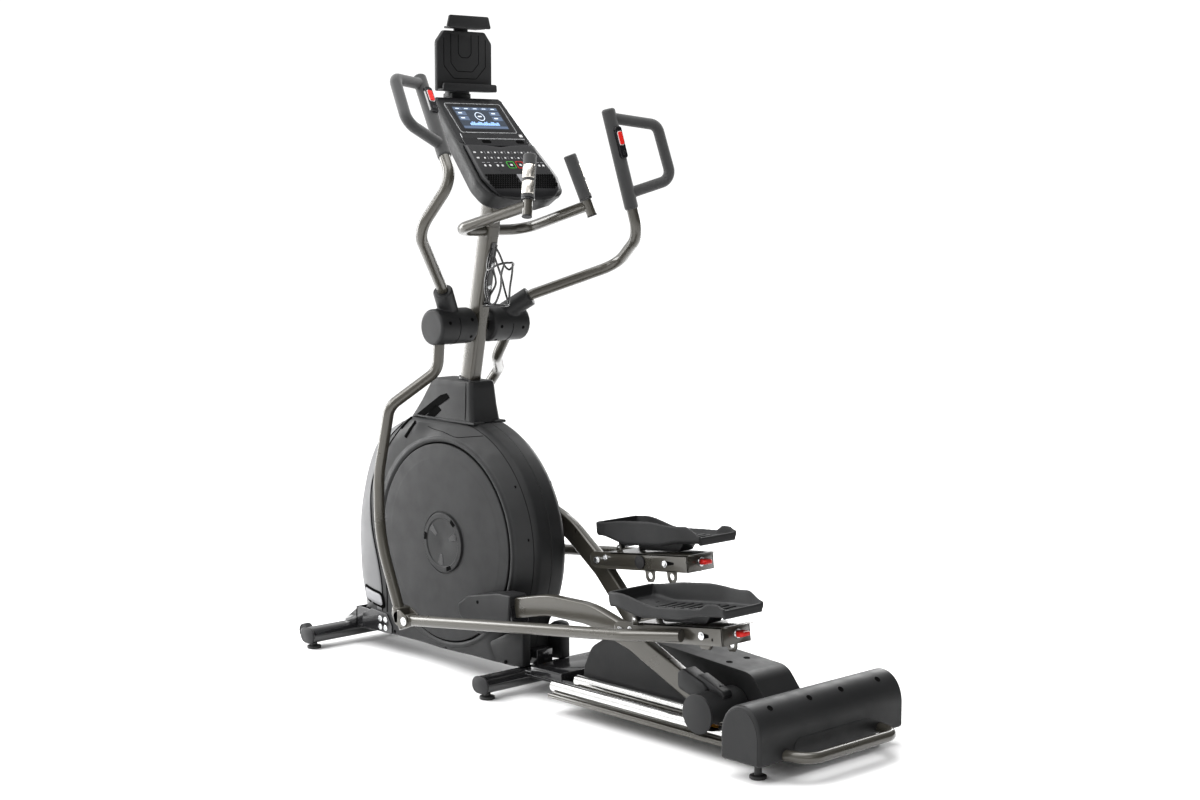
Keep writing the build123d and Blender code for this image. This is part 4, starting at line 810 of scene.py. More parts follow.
# ---------------------------------------------------------------- swing arms, grips and handles
TUBE_R, FOAM_R, LOOP_FOAM_R, LINK_X = 16, 20, 16, 250
SWING_PATH = [(137, 0, -18), (137, 10, -128), (LINK_X, 92, -232), (LINK_X, 146, -440), (LINK_X, 143, -620),
              (LINK_X, 27, -877)]
HANDLE_PATH = [(125, -12, 75), (150, -27, 113), (325, -142, 280), (272, -225, 425), (209, -4, 703)]
GRIP_START, GRIP_END = (252, -157, 510), (208, 0, 708)
LOOP_PATH = [(212, -12, 690), (348, -69, 700), (381, -168, 578), (250, -149, 520)]
for name, side in SIDES.items():
    place = SWING[name]
    body = f"{name}_swing_arm"
    path = place.path(*SWING_PATH)
    shaft = tube(f"swing_shaft_{name}", path, [60, 60, 300, 400], TUBE_R)
    hub = disc(f"swing_hub_{name}", place, 40, 158, 27)
    neck = rod(f"swing_neck_{name}", place.point(82, 14, 10), place.point(133, -17, 87), 20)
    ear = outline_of([(-17, -848), (-10, -832), (24, -816), (52, -834), (40, -864), (0, -868)],
                     [6, 10, 10, 14, 14, 14])
    ears = [prism(f"ear_{x}_{name}", place, ear, x, x + 5, 0.8, 2) for x in (226, 269)]
    bridge = prism(f"bridge_{name}", place, [(28, -816), (54, -812), (58, -836), (44, -860), (28, -858)],
                   226, 274, 2)
    finish(join(f"swing_arm_{name}", [shaft, hub, neck, bridge] + ears), "frame_paint", body, f"swing_tube_{name}")
    for k, x in enumerate((274, 225.5)):
        out = 1 if k == 0 else -1
        bolt(f"foot_pin_{k}_{name}", place.point(x, 0, -SWING_LENGTH), (side * out, 0, 0), 8.5, body, 5, "round")
    # pivot cover: drum and sleeve as one moulding
    drum = disc(f"drum_{name}", place, 32, 168, 52.5, edge=7)
    sleeve = rod(f"sleeve_{name}", place.point(93, 7, 27), place.point(146, -25, 107), 29, 40, 3)
    cover = melt(f"pivot_cover_shell_{name}", [drum, sleeve], 2.2, 5)
    finish(cover, "shell_dark", body, f"pivot_cover_{name}")
    seam(f"cover_seam_{name}", [place.point(100, 52.6 * cos(radians(a)), 52.6 * sin(radians(a)))
                                for a in range(150, 395, 6)], 0.8, body=body)
    for k, (x, a) in enumerate(((55, 158), (138, 165), (55, 215), (140, 250))):
        spot = place.point(x, 52.2 * cos(radians(a)), 52.2 * sin(radians(a)))
        axis = place.direction(0, cos(radians(a)), sin(radians(a)))
        hole_cup(f"cover_screw_{k}_{name}", spot, axis, 5, body)
    # handle and D-loop
    handle = tube(f"handle_{name}", place.path(*HANDLE_PATH), [60, 90, 75], TUBE_R)
    finish(handle, "frame_paint", body, f"handle_tube_{name}")
    start, end = place.point(*GRIP_START), place.point(*GRIP_END)
    axis = (end - start).normalized()
    core = rod(f"foam_core_{name}", start - axis * 34, end + axis * 4, FOAM_R, 40, 5)
    loop = tube(f"foam_loop_{name}", place.path(*LOOP_PATH), [30, 34], LOOP_FOAM_R + 0.2)
    facing = place.direction(0, -0.782, 0.622)
    facing = (facing - axis * facing.dot(axis)).normalized()
    across = axis.cross(facing)
    switch = start + axis * (0.62 * (end - start).length)

    def switch_plate(label, size, depth0, depth1, corner, offset=0.0, bevel=1.0):
        ring = face_box(*size, corner, 12)
        made = loft(label, [[switch + axis * (a + offset) + across * b + facing * d for a, b in ring]
                            for d in (depth0, depth1)])
        return soften(made, bevel)

    foam = melt(f"grip_foam_{name}", [core, loop], 2.0, 6)
    finish(foam, "foam", body, f"foam_grip_{name}")
    finish(switch_plate(f"switch_case_{name}", (46, 13), 8, FOAM_R + 3.4, 8, bevel=1.6), "gloss_black", body,
           slot="face_plastic")
    finish(switch_plate(f"switch_rim_{name}", (20.2, 9.2), 12, FOAM_R + 4.4, 4.5, 12, 0.6), "print_white", body,
           slot="face_plastic")
    finish(switch_plate(f"switch_button_{name}", (6, 5.5), 12, FOAM_R + 5, 2.5, -30, 0.8), "face_plastic", body,
           slot="face_plastic")
    rocker = switch_plate(f"rocker_key_{name}", (18.5, 7.5), FOAM_R + 1, FOAM_R + 7, 3.5, 12, 1.2)
    finish(rocker, "red_plastic", f"{name}_rocker", f"rocker_{name}")

# ---------------------------------------------------------------- connecting arms, pedals and knobs
LINK_PATH = [(LINK_X, LINK_LENGTH, 0), (LINK_X, -60, 0), (210, -236, 0)]
CHEEKS, BRACKET_END = (92, 97, 190, 195), -365
PEDAL_X, PEDAL_HALF, PEDAL_FRONT, PEDAL_REAR = 165, 88, -18, -418
KNOB_X = 142


def drilled(obj, place, x, radius, spots):
    """Cuts round holes along X."""
    cutters = [disc("drill", place, x - 14, x + 14, radius, along, up, 0.5, 32) for along, up in spots]
    return cut(obj, *cutters)


for name, side in SIDES.items():
    place = LINK[name]
    body = f"{name}_connecting_arm"
    shaft = tube(f"link_shaft_{name}", place.path(*LINK_PATH), [120], TUBE_R)
    eye = disc(f"link_eye_{name}", place, 232, 268, 19, LINK_LENGTH)
    cheek = outline_of([(24, -14), (24, 16), (12, 24), (BRACKET_END, 24), (BRACKET_END, -24), (-8, -24)],
                       [8, 8, 8, 1, 1, 10])
    parts = [prism(f"cheek_in_{name}", place, cheek, CHEEKS[0], CHEEKS[1], 0.7, 2),
             prism(f"cheek_out_{name}", place, cheek, CHEEKS[2], CHEEKS[3], 0.7, 2)]
    parts[1] = drilled(parts[1], place, 192, 4, [(-330, -8), (-300, 0)])
    parts += [prism(f"web_{name}", place, [(-60, 19), (-60, 24), (BRACKET_END, 24), (BRACKET_END, 19)],
                    92, 195, 0.6, 2),
              prism(f"end_plate_{name}", place, [(BRACKET_END, -24), (BRACKET_END, 24), (BRACKET_END + 5, 24),
                                                 (BRACKET_END + 5, -24)], 92, 195, 0.8, 2),
              prism(f"end_flange_{name}", place, [(BRACKET_END, 20), (BRACKET_END, 24), (BRACKET_END - 16, 24),
                                                  (BRACKET_END - 16, 22)], 96, 191, 0.6, 2)]
    for x in (118, 205):
        ear = [(-82, 20), (-77, 42), (-63, 42), (-58, 20)]
        parts.append(prism(f"pedal_ear_{x}_{name}", place, ear, x, x + 5, 0.8, 2))
    parts.append(prism(f"ear_foot_{name}", place, [(-60, 19), (-60, 24), (-82, 24), (-82, 19)], 190, 210, 0.5, 2))
    for along in (-215, -300):
        lug = outline_of([(along - 19, -20), (along + 19, -20), (along + 17, -44), (along + 9, -55),
                          (along - 9, -55), (along - 17, -44)], 3)
        lug = prism(f"lug_{along}_{name}", place, lug, 92, 97, 0.6, 2)
        parts.append(drilled(lug, place, 94, 9.5, [(along, -37)]))
        if along == -300:
            out = prism(f"lug_out_{name}", place, [(along - 24, -22), (along + 22, -22), (along + 10, -34),
                                                   (along - 14, -34)], 190, 195, 0.8, 2)
            parts.append(out)
    finish(join(f"link_arm_frame_{name}", [shaft, eye] + parts), "frame_paint", body, f"link_arm_{name}")
    pin = rod(f"link_pin_{name}", place.point(87, 0, 0), place.point(200, 0, 0), 8, 32, 1)
    finish(pin, "dark_steel", body, slot="dark_steel")
    for k, (x, along, up, size, out) in enumerate((
            (200, 0, 0, 8, 1), (195, -34, 4, 6, 1), (195, -292, 0, 7, 1),
            (92, -2, 0, 7.5, -1), (92, -38, 8, 6, -1), (92, -276, -2, 6.5, -1))):
        bolt(f"link_bolt_{k}_{name}", place.point(x, along, up), (side * out, 0, 0), size, body)
    plug = disc(f"link_plug_{name}", place, 92.5, 87.5, 19, -180, 0, 1.5)
    finish(plug, "caps_plastic", body, slot="caps_plastic")
    # painted shade: the slots are thin near-black plates on the arm's cheeks, not openings
    slot_cap = prism(f"link_slot_{name}", place,
                     [(-318, 4), (-300, 7), (-292, 5), (-292, -5), (-300, -7), (-318, -4)], 194.4, 195.4, 0.3, 2)
    finish(slot_cap, "recess", body)
    slot_in = prism(f"link_slot_in_{name}", place, [(-312, 3), (-280, 7), (-280, -7), (-312, -3)],
                    91.6, 92.4, 0.3, 2)
    finish(slot_in, "recess", body)

    # pedal: one deep moulding, high toe and inner wall, low outer rim
    body = f"{name}_pedal"
    stations = 36
    rows = []
    for i in range(stations + 1):
        share = i / stations
        along = PEDAL_FRONT - (PEDAL_FRONT - PEDAL_REAR) * share
        taper = 1 - 0.16 * ease(share, 0.62, 1.0) - 0.06 * (1 - ease(share, 0, 0.12))
        half = PEDAL_HALF * taper
        floor_z = 65 - 3 * share + 14 * (1 - ease(share, 0.0, 0.24))
        inner = 110 + 6 * ease(share, 0.05, 0.3) - 12 * ease(share, 0.5, 0.8) - 26 * ease(share, 0.87, 1)
        outer = 110 - 32 * ease(share, 0.08, 0.46) - 1.5 * ease(share, 0.5, 0.8) + 13 * ease(share, 0.80, 0.87) \
            - 12 * ease(share, 0.93, 1)
        under = 71 - 24 * ease(share, 0.03, 0.32) + 9 * ease(share, 0.62, 0.80)
        wall = 6.5
        lean = 7
        ring = [(-half + lean, under), (-half + 1, under + 8), (-half, inner - 5), (-half + 1.5, inner),
                (-half + wall - 1, inner), (-half + wall, inner - 4), (-half + wall + 6, floor_z + 4),
                (-half + wall + 14, floor_z), (0, floor_z - 1), (half - wall - 14, floor_z),
                (half - wall - 6, floor_z + 2.5), (half - wall, min(outer - 2, floor_z + 30)), (half - wall + 1, outer),
                (half - 1.5, outer), (half, outer - 4), (half - 1, under + 8), (half - lean, under)]
        rows.append([place.point(PEDAL_X + x, along, up) for x, up in ring])
    tray = loft(f"pedal_tray_{name}", rows)
    toe_line = outline_of([(-PEDAL_HALF + 8, 71), (-PEDAL_HALF + 5, 111), (PEDAL_HALF - 5, 111),
                           (PEDAL_HALF - 8, 71)], [6, 8, 8, 6])
    toe = loft(f"pedal_toe_{name}", [[place.point(PEDAL_X + x, along, up) for x, up in toe_line]
                                     for along in (PEDAL_FRONT, PEDAL_FRONT - 7)])
    lip = prism(f"pedal_lip_{name}", place, [(PEDAL_REAR + 10, 50), (PEDAL_REAR, 52), (PEDAL_REAR, 72),
                                             (PEDAL_REAR + 4, 75), (PEDAL_REAR + 14, 68)],
                PEDAL_X - 68, PEDAL_X + 68, 1.5)
    lugs = [prism(f"pedal_lug_{x}_{name}", place, [(-77, 30), (-63, 30), (-60, 70), (-80, 70)], x, x + 10, 1)
            for x in (125, 194)]
    skid = prism(f"pedal_skid_{name}", place, [(-150, 28), (-300, 28), (-320, 52), (-130, 52)], 128, 182, 2)
    tray = melt(f"pedal_body_{name}", [tray, toe, lip], 2.2, 4)
    tray = join(f"pedal_moulding_{name}", [tray] + lugs + [skid])
    finish(tray, "pedal_rubber", body, f"pedal_{name}")
    ribs = []
    for k in range(9):
        along, half = -110 - 31 * k, 55 if k > 6 else 62
        line = [(along, 62), (along, 66.5), (along - 14, 66.5), (along - 14, 62)]
        ribs += [prism("rib", place, line, x0, x1, 1.2, 2)
                 for x0, x1 in ((PEDAL_X - half, PEDAL_X - 8), (PEDAL_X + 8, PEDAL_X + half))]
    finish(join(f"pedal_ribs_{name}", ribs), "pedal_rubber", body, slot="pedal_rubber")
    hinge = rod(f"pedal_hinge_{name}", place.point(117, -70, 36), place.point(211, -70, 36), 4, 24, 0.8)
    finish(hinge, "zinc", body, slot="dark_steel")

    # red knob on a bright ring
    body = f"{name}_knob"
    rear = place.direction(0, -1, 0)
    centre = place.point(KNOB_X, BRACKET_END, 2)
    ring = lathe(f"knob_ring_{name}", centre, rear, [(0.4, 0), (0.4, 12), (2, 13), (4.5, 13), (6, 11.5), (6.4, 0)],
                 40)
    finish(ring, "zinc", body, slot="dark_steel")
    rows, across, upward = [], Vector((side, 0, 0)), place.direction(0, 0, 1)
    for depth, length, thick in ((5, 8, 8), (9, 13, 8), (14, 16, 7.8), (25, 16, 7), (32, 14.5, 5.6), (36, 10, 3.4)):
        oval = face_box(length, thick, thick * 0.8, 20)
        rows.append([centre + rear * depth + across * a + upward * b for a, b in oval])
    finish(loft(f"knob_grip_{name}", rows, 60), "red_plastic", body, f"knob_{name}")

# ---------------------------------------------------------------- roller arms
ARM_X, CAP_INNER = 136, 106.5
ARM_PATH = [(ARM_X, 14, 4), (ARM_X, 308, 96), (ARM_X, 480, 122), (ARM_X, 650, 102), (ARM_X, 872, 27.4)]
for name, side in SIDES.items():
    place = ARM[name]
    body = f"{name}_roller_arm"
    path = rounded(place.path(*ARM_PATH), [180, 300, 300], step=3)
    beam = sweep(f"beam_{name}", path, rounded_box(30, 58, 6), (1, 0, 0))
    boss = disc(f"beam_boss_{name}", place, 107, 161, 20)
    pivot_along, pivot_up = PIVOT_REACH * cos(radians(PIVOT_ANGLE)), PIVOT_REACH * sin(radians(PIVOT_ANGLE))
    saddle = disc(f"beam_pivot_{name}", place, 104, 183, 17, pivot_along, pivot_up)
    eye = disc(f"beam_eye_{name}", place, 109, 120, 38, ARM_REACH)
    eye = cut(eye, disc("eye_drill", place, 104, 125, 28, ARM_REACH))
    neck = prism(f"beam_neck_{name}", place, [(890, -6), (900, 40), (936, 30), (936, -30), (905, -20)], 109, 121, 3)
    finish(join(f"roller_arm_beam_{name}", [beam, boss, saddle, eye, neck]), "frame_paint", body,
           f"roller_arm_{name}")
    # black cap over the crank end
    outline = outline_of([(ARM_REACH - 185, 18), (ARM_REACH - 185, 97), (ARM_REACH - 130, 90),
                          (ARM_REACH + 10, 46), (ARM_REACH + 56, 8), (ARM_REACH + 44, -20),
                          (ARM_REACH, -46), (ARM_REACH - 60, -50)], [5, 8, 40, 30, 12, 20, 30, 20])
    cap = prism(f"arm_cap_body_{name}", place, outline, CAP_INNER, 171.5, 6, 4)
    run = place.direction(0, 1, 0)
    for vertex in cap.data.vertices:
        along = (vertex.co.y / MM - place.origin[0]) * run.y + (vertex.co.z / MM - place.origin[1]) * run.z
        taper = 1 - 0.2 * min(max((along - ARM_REACH + 185) / 241, 0), 1)
        vertex.co.x = side * (CAP_INNER + (abs(vertex.co.x) / MM - CAP_INNER) * taper) * MM
    finish(cap, "shell_dark", body, f"arm_cap_{name}")
    collar = sweep(f"cap_collar_{name}", place.path((ARM_X, ARM_REACH - 188, 56), (ARM_X, ARM_REACH - 181, 53.8)),
                   rounded_box(60, 84, 9), (1, 0, 0))
    finish(soften(collar, 1.2), "gloss_black", body, slot="shell_dark")
    hole_cup(f"cap_screw_{name}", place.point(163.8, ARM_REACH - 40, 40), (side, 0, 0), 5, body)
    # roller housing: a drum open below, with a saddle gripping the arm
    shell = [ring_shell(f"drum_shell_{name}", SideFrame(side, place.origin), 72, 209, 50.5, 45, -21, 201, 1.0)]
    for x0, x1 in ((72, 76), (205, 210)):
        plate = disc(f"drum_end_{x0}_{name}", SideFrame(side, place.origin), x0, x1, 51, edge=1.8)
        if x0 == 72:
            lower = block("below", (min(side * 60, side * 90), place.origin[0] - 70, 30),
                          (max(side * 60, side * 90), place.origin[0] + 70, 98))
            plate = cut(plate, lower)
        shell.append(plate)
    saddle = outline_of([(22, 30), (20, 50), (34, 62), (108, 80), (128, 66), (122, 24), (50, 12)],
                        [8, 14, 20, 12, 10, 14, 10])
    shell.append(prism(f"drum_saddle_{name}", place, saddle, ARM_X - 24, ARM_X + 24, 7, 4))
    tongue = outline_of([(-32, 34), (-36, 46), (-28, 57), (60, 80), (70, 60)], [8, 8, 10, 10, 4])
    shell.append(prism(f"drum_tongue_{name}", place, tongue, ARM_X - 17, ARM_X + 17, 5, 3))
    finish(join(f"roller_drum_{name}", shell), "shell_dark", body, f"roller_housing_{name}")
    normal = place.direction(0, -0.28, 0.96)
    hole_cup(f"drum_ear_hole_{name}", place.point(ARM_X, -10, 61.2), normal, 7, body)
    hole_cup(f"saddle_screw_{name}", place.point(ARM_X - 8, 60, 68.6), normal, 4.5, body)

# ---------------------------------------------------------------- base: rails, covers, stabilisers and feet
RAIL_FRONT, RAIL_REAR, RAILS_X = -115, -858, (90, 178)
rails = [rod(f"rail_{side * x}", (side * x, RAIL_FRONT, 75), (side * x, RAIL_REAR, 75), 15, 48, 1)
         for side in SIDES.values() for x in RAILS_X]
finish(join("rail_pair_tubes", rails), "rail_steel", "root", "rail_tubes")
channel = []
for side in SIDES.values():
    edge = SideFrame(side)
    for x0, x1, z0, z1 in ((74, 200, 46, 51), (196, 200, 50, 58), (86, 94, 50, 60.2), (174, 182, 50, 60.2)):
        channel.append(prism("channel", edge, [(RAIL_FRONT, z0), (RAIL_REAR, z0), (RAIL_REAR, z1), (RAIL_FRONT, z1)],
                             x0, x1, 1.0, 2))
for y in (-160, -500, -800):
    channel.append(block("cross_plate", (-80, y - 20, 46), (80, y + 20, 51), 0.8, 2))
channel.append(block("rear_beam", (-255, -930, 46), (255, -859, 88), 2))
channel.append(block("nose_beam", (-100, -118, 46), (100, -108, 62), 1.5))
finish(join("rail_channel", channel), "frame_paint", "root", "rail_frame", slot="black_paint")
handle = tube("rear_handle", [Vector(p) for p in ((-190, -920, 62), (-165, -1026, 62), (165, -1026, 62),
                                                  (190, -920, 62))], [50, 50], 14)
finish(handle, "frame_paint", "root", slot="frame_paint")

ramp = outline_of([(-116, 54), (-120, 110), (-150, 172), (-215, 212), (-330, 232), (-745, 205), (-800, 140),
                   (-822, 54)], [2, 30, 60, 60, 90, 60, 30, 2], 5)
ramp = prism("ramp_cover_shell", MIDDLE, ramp, -69, 69, 7, 4)
finish(ramp, "shell_dark", "root", "ramp_cover")
skirt = block("ramp_skirt", (-80, -815, 51), (80, -125, 56), 1.5)
finish(skirt, "shell_dark", "root")
for k, x in enumerate((-38, 28)):
    y = -640
    hole_cup(f"ramp_screw_{k}", (x, y, 232 + (y + 330) * 27 / 415 + 0.1), (0, -0.065, 1), 9)

COVER_Y, COVER_Z, COVER_HALF, COVER_RISE = -896.5, 112, 65.5, 78


def arch_line(half, crown_half, rise, foot):
    """An arched outline round the rear cover's middle, in side view."""
    crown = [(COVER_Y + crown_half * cos(radians(a)), COVER_Z + rise * sin(radians(a))) for a in range(6, 180, 6)]
    front, back = COVER_Y + half, COVER_Y - half
    return [(front, foot), (front, COVER_Z), *crown, (back, COVER_Z), (back, foot)]


cover = prism("rear_cover_shell", MIDDLE, arch_line(COVER_HALF, COVER_HALF, COVER_RISE, 46), -274, 274, 9, 5)
finish(cover, "shell_dark", "root", "rear_cover")
for side in SIDES.values():
    end = prism(f"rear_end_{side}", SideFrame(side), arch_line(57.5, 57, 69, 52), 273, 275, 1.0, 2)
    finish(end, "shell_dark", "root")
    for k, x in enumerate((60, 205)):
        y, z = COVER_Y - COVER_HALF * cos(radians(58)), COVER_Z + COVER_RISE * sin(radians(58))
        hole_cup(f"rear_screw_{k}_{side}", (side * x, y, z), (0, -0.6, 0.8), 8)
recess = outline_of([(-150, 46), (-150, 96), (150, 96), (150, 46)], [2, 28, 28, 2])
panel = loft("rear_recess_panel", [[(x, y, z) for x, z in recess] for y in (-961, -963)])
finish(panel, "shell_dark", "root")


def capsule(x0, x1, y, z, width, height, radius, bevel=0):
    """An oval bar along X."""
    ring = [(y + a, z + b) for a, b in face_box(width / 2, height / 2, radius, 10)]
    return prism("oval", MIDDLE, ring, x0, x1, bevel, 3)


FRONT_Y, MID_Y, REAR_Y, FOOT_X = 957, 120, -906, 218
front = [capsule(-239, 239, FRONT_Y, 43, 66, 46, 22)]
for side in SIDES.values():
    bracket = outline_of([(832, 62), (832, 122), (900, 122), (FRONT_Y + 20, 70), (FRONT_Y + 10, 60),
                          (FRONT_Y - 20, 58)], [2, 8, 14, 6, 4, 4])
    front.append(prism("bracket", SideFrame(side), bracket, 82, 88, 1.2, 2))
    ear = outline_of([(975, 30), (975, 56), (1021, 53), (1025, 43), (1021, 33)], [2, 2, 6, 6, 6])
    for x in (188, 218):
        front.append(prism("wheel_ear", SideFrame(side), ear, x, x + 4, 0.8, 2))
    front.append(rod("wheel_pin", (side * 186, 1016, 43), (side * 224, 1016, 43), 5, 24, 0.8))
front += [block("bracket_top", (-88, 905, 62), (88, 914, 121), 1.5),
          block("bracket_base", (-88, 832, 57), (88, 957, 63), 1)]
finish(join("front_cross_tube", front), "black_paint", "root", "front_stabiliser")
for side in SIDES.values():
    cheek = outline_of([(866, 64), (866, 108), (820, 130), (742, 124), (718, 92), (718, 64)], [4, 10, 14, 12, 12, 4])
    cheek = prism(f"bracket_cheek_{side}", SideFrame(side), cheek, 93, 98, 1.2, 2)
    finish(cheek, "black_paint", "root", slot="black_paint")
    for k, (y, z) in enumerate(((748, 105), (774, 105), (748, 79), (774, 79))):
        bolt(f"bracket_bolt_{k}_{side}", (side * 98, y, z), (side, 0, 0), 6)

base = [capsule(-239, 239, MID_Y, 43, 66, 46, 22), block("spine", (-30, MID_Y, 64), (30, 905, 108), 3),
        block("deck", (-100, -112, 50), (100, MID_Y, 58), 1.5),
        block("crank_post", (-24, 435, 108), (24, 483, 385), 3),
        sweep("post", [mast_place(100), mast_place(799)], mast_section, (1, 0, 0)),
        disc("crank_housing", MIDDLE, -28, 28, 33, 459, 385)]
for x in (-96, 90):
    base.append(block("deck_rib", (x, -112, 58), (x + 6, 100, 66), 1))
base.append(block("deck_plate", (-100, -60, 58), (100, 70, 84), 4))
base += [prism("side_plate", MIDDLE, [(695, 90), (775, 90), (758, 350), (712, 350)], x, x + 4, 0.8, 2)
         for x in (-79, 56)]
base += [block("plate_foot", (-79, 700, 84), (60, 770, 108), 1), rod("stub", (-79, 735, 330), (60, 735, 330), 8)]
finish(join("base_frame", base), "black_paint", "root", "main_frame", slot="frame_paint")

caps = [capsule(min(side * 238, side * 246), max(side * 238, side * 246), y, 43, 69, 49, 24, 3)
        for side in SIDES.values() for y in (FRONT_Y, MID_Y)]
finish(join("stabiliser_end_caps", caps), "caps_plastic", "root", "stabiliser_caps")


def levelling_foot(name, x, y, top, body, *stands_for):
    """Rubber pad with a knurled neck, on a threaded stud."""
    pad = [(0, 0), (0, 19), (1.5, 21.5), (6, 22), (8.5, 21), (10, 18), (10, 9.5), (top - 0.6, 9), (top - 0.4, 0)]
    foot = lathe(f"{name}_pad", (x, y, 0), (0, 0, 1), pad, 48)
    thread = [(top - 0.6, 0), (top - 0.6, 5)]
    for k in range(6):
        thread += [(top + 0.4 + 2 * k, 4.95), (top + 1.4 + 2 * k, 4.3)]
    stud = lathe(f"{name}_stud", (x, y, 0), (0, 0, 1), thread + [(top + 13.4, 4.5), (top + 13.4, 0)], 24)
    finish(foot, "foot_rubber", body, *stands_for)
    finish(stud, "dark_steel", body, slot="dark_steel")


for name, side in SIDES.items():
    levelling_foot(f"front_foot_{name}", side * FOOT_X, FRONT_Y, 20, "root", *(["front_feet"] if side < 0 else []))
    levelling_foot(f"mid_foot_screw_{name}", side * FOOT_X, MID_Y, 20, f"{name}_mid_foot", f"mid_foot_{name}")
    levelling_foot(f"rear_foot_screw_{name}", side * FOOT_X, REAR_Y, 46, f"{name}_rear_foot", f"rear_foot_{name}")
wheels = []
for side in SIDES.values():
    profile = [(0, 5.1), (0, 14), (1.5, 15), (1.5, 20), (0, 21), (0.8, 23.4), (2.5, 24), (21.5, 24), (23.2, 23.4),
               (24, 21), (22.5, 20), (22.5, 15), (24, 14), (24, 5.1), (0, 5.1)]
    wheels.append(lathe("wheel", (side * 193, 1016, 43), (side, 0, 0), profile, 48))
finish(join("transport_wheel_pair", wheels), "caps_plastic", "transport_wheels", "transport_wheels")

# ---------------------------------------------------------------- horn bar and bottle cage
horn = [(-114, 59, 1378), (-133, 358, 1304), (133, 358, 1304), (114, 59, 1378)]
bar = tube("horn", [Vector(p) for p in horn], [60, 60], TUBE_R)
stubs = [rod("stub", (side * 122, 52, 1350), (side * 75, 92, 1514), 14, 36, 1.5) for side in SIDES.values()]
finish(join("horn_handlebar", [bar] + stubs), "frame_paint", "root", "horn_bar")
for side in SIDES.values():
    low, high = Vector((side * 122, 52, 1350)), Vector((side * 75, 92, 1514))
    axis = (high - low).normalized()
    foam = rod(f"pulse_grip_{side + 1}", low + axis * 50, high + axis * 5, 18.5, 48, 3)
    finish(foam, "foam", "root", *(["horn_grips"] if side < 0 else []))
    finish(rod(f"grip_cap_{side + 1}", low + axis * 46, low + axis * 52, 19.2, 40, 1.5), "gloss_black", "root",
           slot="caps_plastic")
    finish(rod(f"stub_cap_{side + 1}", low - axis * 3, low + axis * 1, 14.6, 40, 1), "caps_plastic", "root",
           slot="caps_plastic")
    outward = Vector((side * 0.75, -0.62, 0)) if side < 0 else Vector((0.9, -0.2, 0))
    outward = (outward - axis * outward.dot(axis)).normalized()
    sideways = axis.cross(outward)
    for k, (a, b) in enumerate(((62, 100), (108, 148))):
        rows = [[low + axis * along + (outward * cos(radians(turn)) + sideways * sin(radians(turn)))
                 * (19.4 if a < along < b else 18.4) for turn in range(-60, 61, 8)]
                for along in (a, a + 2, b - 2, b)]
        plate = sheet(f"pulse_plate_{side + 1}_{k}", rows)
        apply(plate, "SOLIDIFY", thickness=0.8 * MM, offset=-1)
        finish(plate, "pulse_plate", "root", slot="rail_steel")
collar = sweep("horn_collar", [mast_place(1288), mast_place(1320)], rounded_box(42, 60, 12), (1, 0, 0))
finish(soften(collar, 1.5), "frame_paint", "root")

CAGE_R = 38


def cage_point(angle, z, reach=CAGE_R):
    """A place round the bottle: angle 0 is away from the mast."""
    centre = mast_place(z) + Vector((0, -29 - 4 - CAGE_R, 0))
    return centre + Vector((reach * sin(radians(angle)), -reach * cos(radians(angle)), 0))


wires = []
CAGE_WIRES = (((172, 1255), (150, 1235), (125, 1205), (95, 1190), (60, 1205), (22, 1212), (0, 1212)),
              ((170, 1225), (130, 1170), (105, 1130), (70, 1095), (35, 1088), (0, 1088)),
              ((24, 1212), (32, 1180), (28, 1140), (40, 1100), (60, 1090)),
              ((168, 1262), (172, 1200), (150, 1150), (172, 1110), (160, 1088), (100, 1086)))
for side in SIDES.values():
    for line in CAGE_WIRES:
        wires.append(sweep("wire", smooth_line([cage_point(side * a, z) for a, z in line], 8), circle(3.2, 12)))
wires.append(sweep("spine_plate", [mast_place(z) + Vector((0, -31.5, 0)) for z in (1083, 1268)],
                   rounded_box(16, 5, 2), (1, 0, 0)))
floor_wire = [cage_point(a, 1087, 30) for a in range(0, 361, 20)]
wires.append(sweep("wire", floor_wire, circle(3, 12)))
finish(join("bottle_cage_wire", wires), "wire_black", "root", "bottle_cage")
for k, z in enumerate((1140, 1205)):
    bolt(f"cage_bolt_{k}", mast_place(z) + Vector((0, -34, 0)), (0, -1, 0), 5, height=4)

# ---------------------------------------------------------------- console
FACE_TOP = Vector((0, 455, 1687))
FACE_DOWN, FACE_OUT = Vector((0, -0.69, -0.724)), Vector((0, -0.724, 0.69))


def on_face(x, down, out):
    return FACE_TOP + Vector((x, 0, 0)) + FACE_DOWN * down + FACE_OUT * out


def face_slab(name, outline, out0, out1, bevel=0.0, segments=2):
    """A flat outline of (x, distance down the face), raised from out0 to out1."""
    obj = loft(name, [[on_face(x, down, out) for x, down in outline] for out in (out0, out1)])
    return soften(obj, bevel, segments) if bevel else obj


def face_rect(x0, x1, d0, d1, corner=0.0):
    return outline_of([(x0, d0), (x1, d0), (x1, d1), (x0, d1)], corner, 15)


def mirrored(half, radii, step=7):
    """An outline given by its right half, with the corner radii of that half."""
    return outline_of(half + [(-x, d) for x, d in reversed(half)], radii + radii[::-1], step)


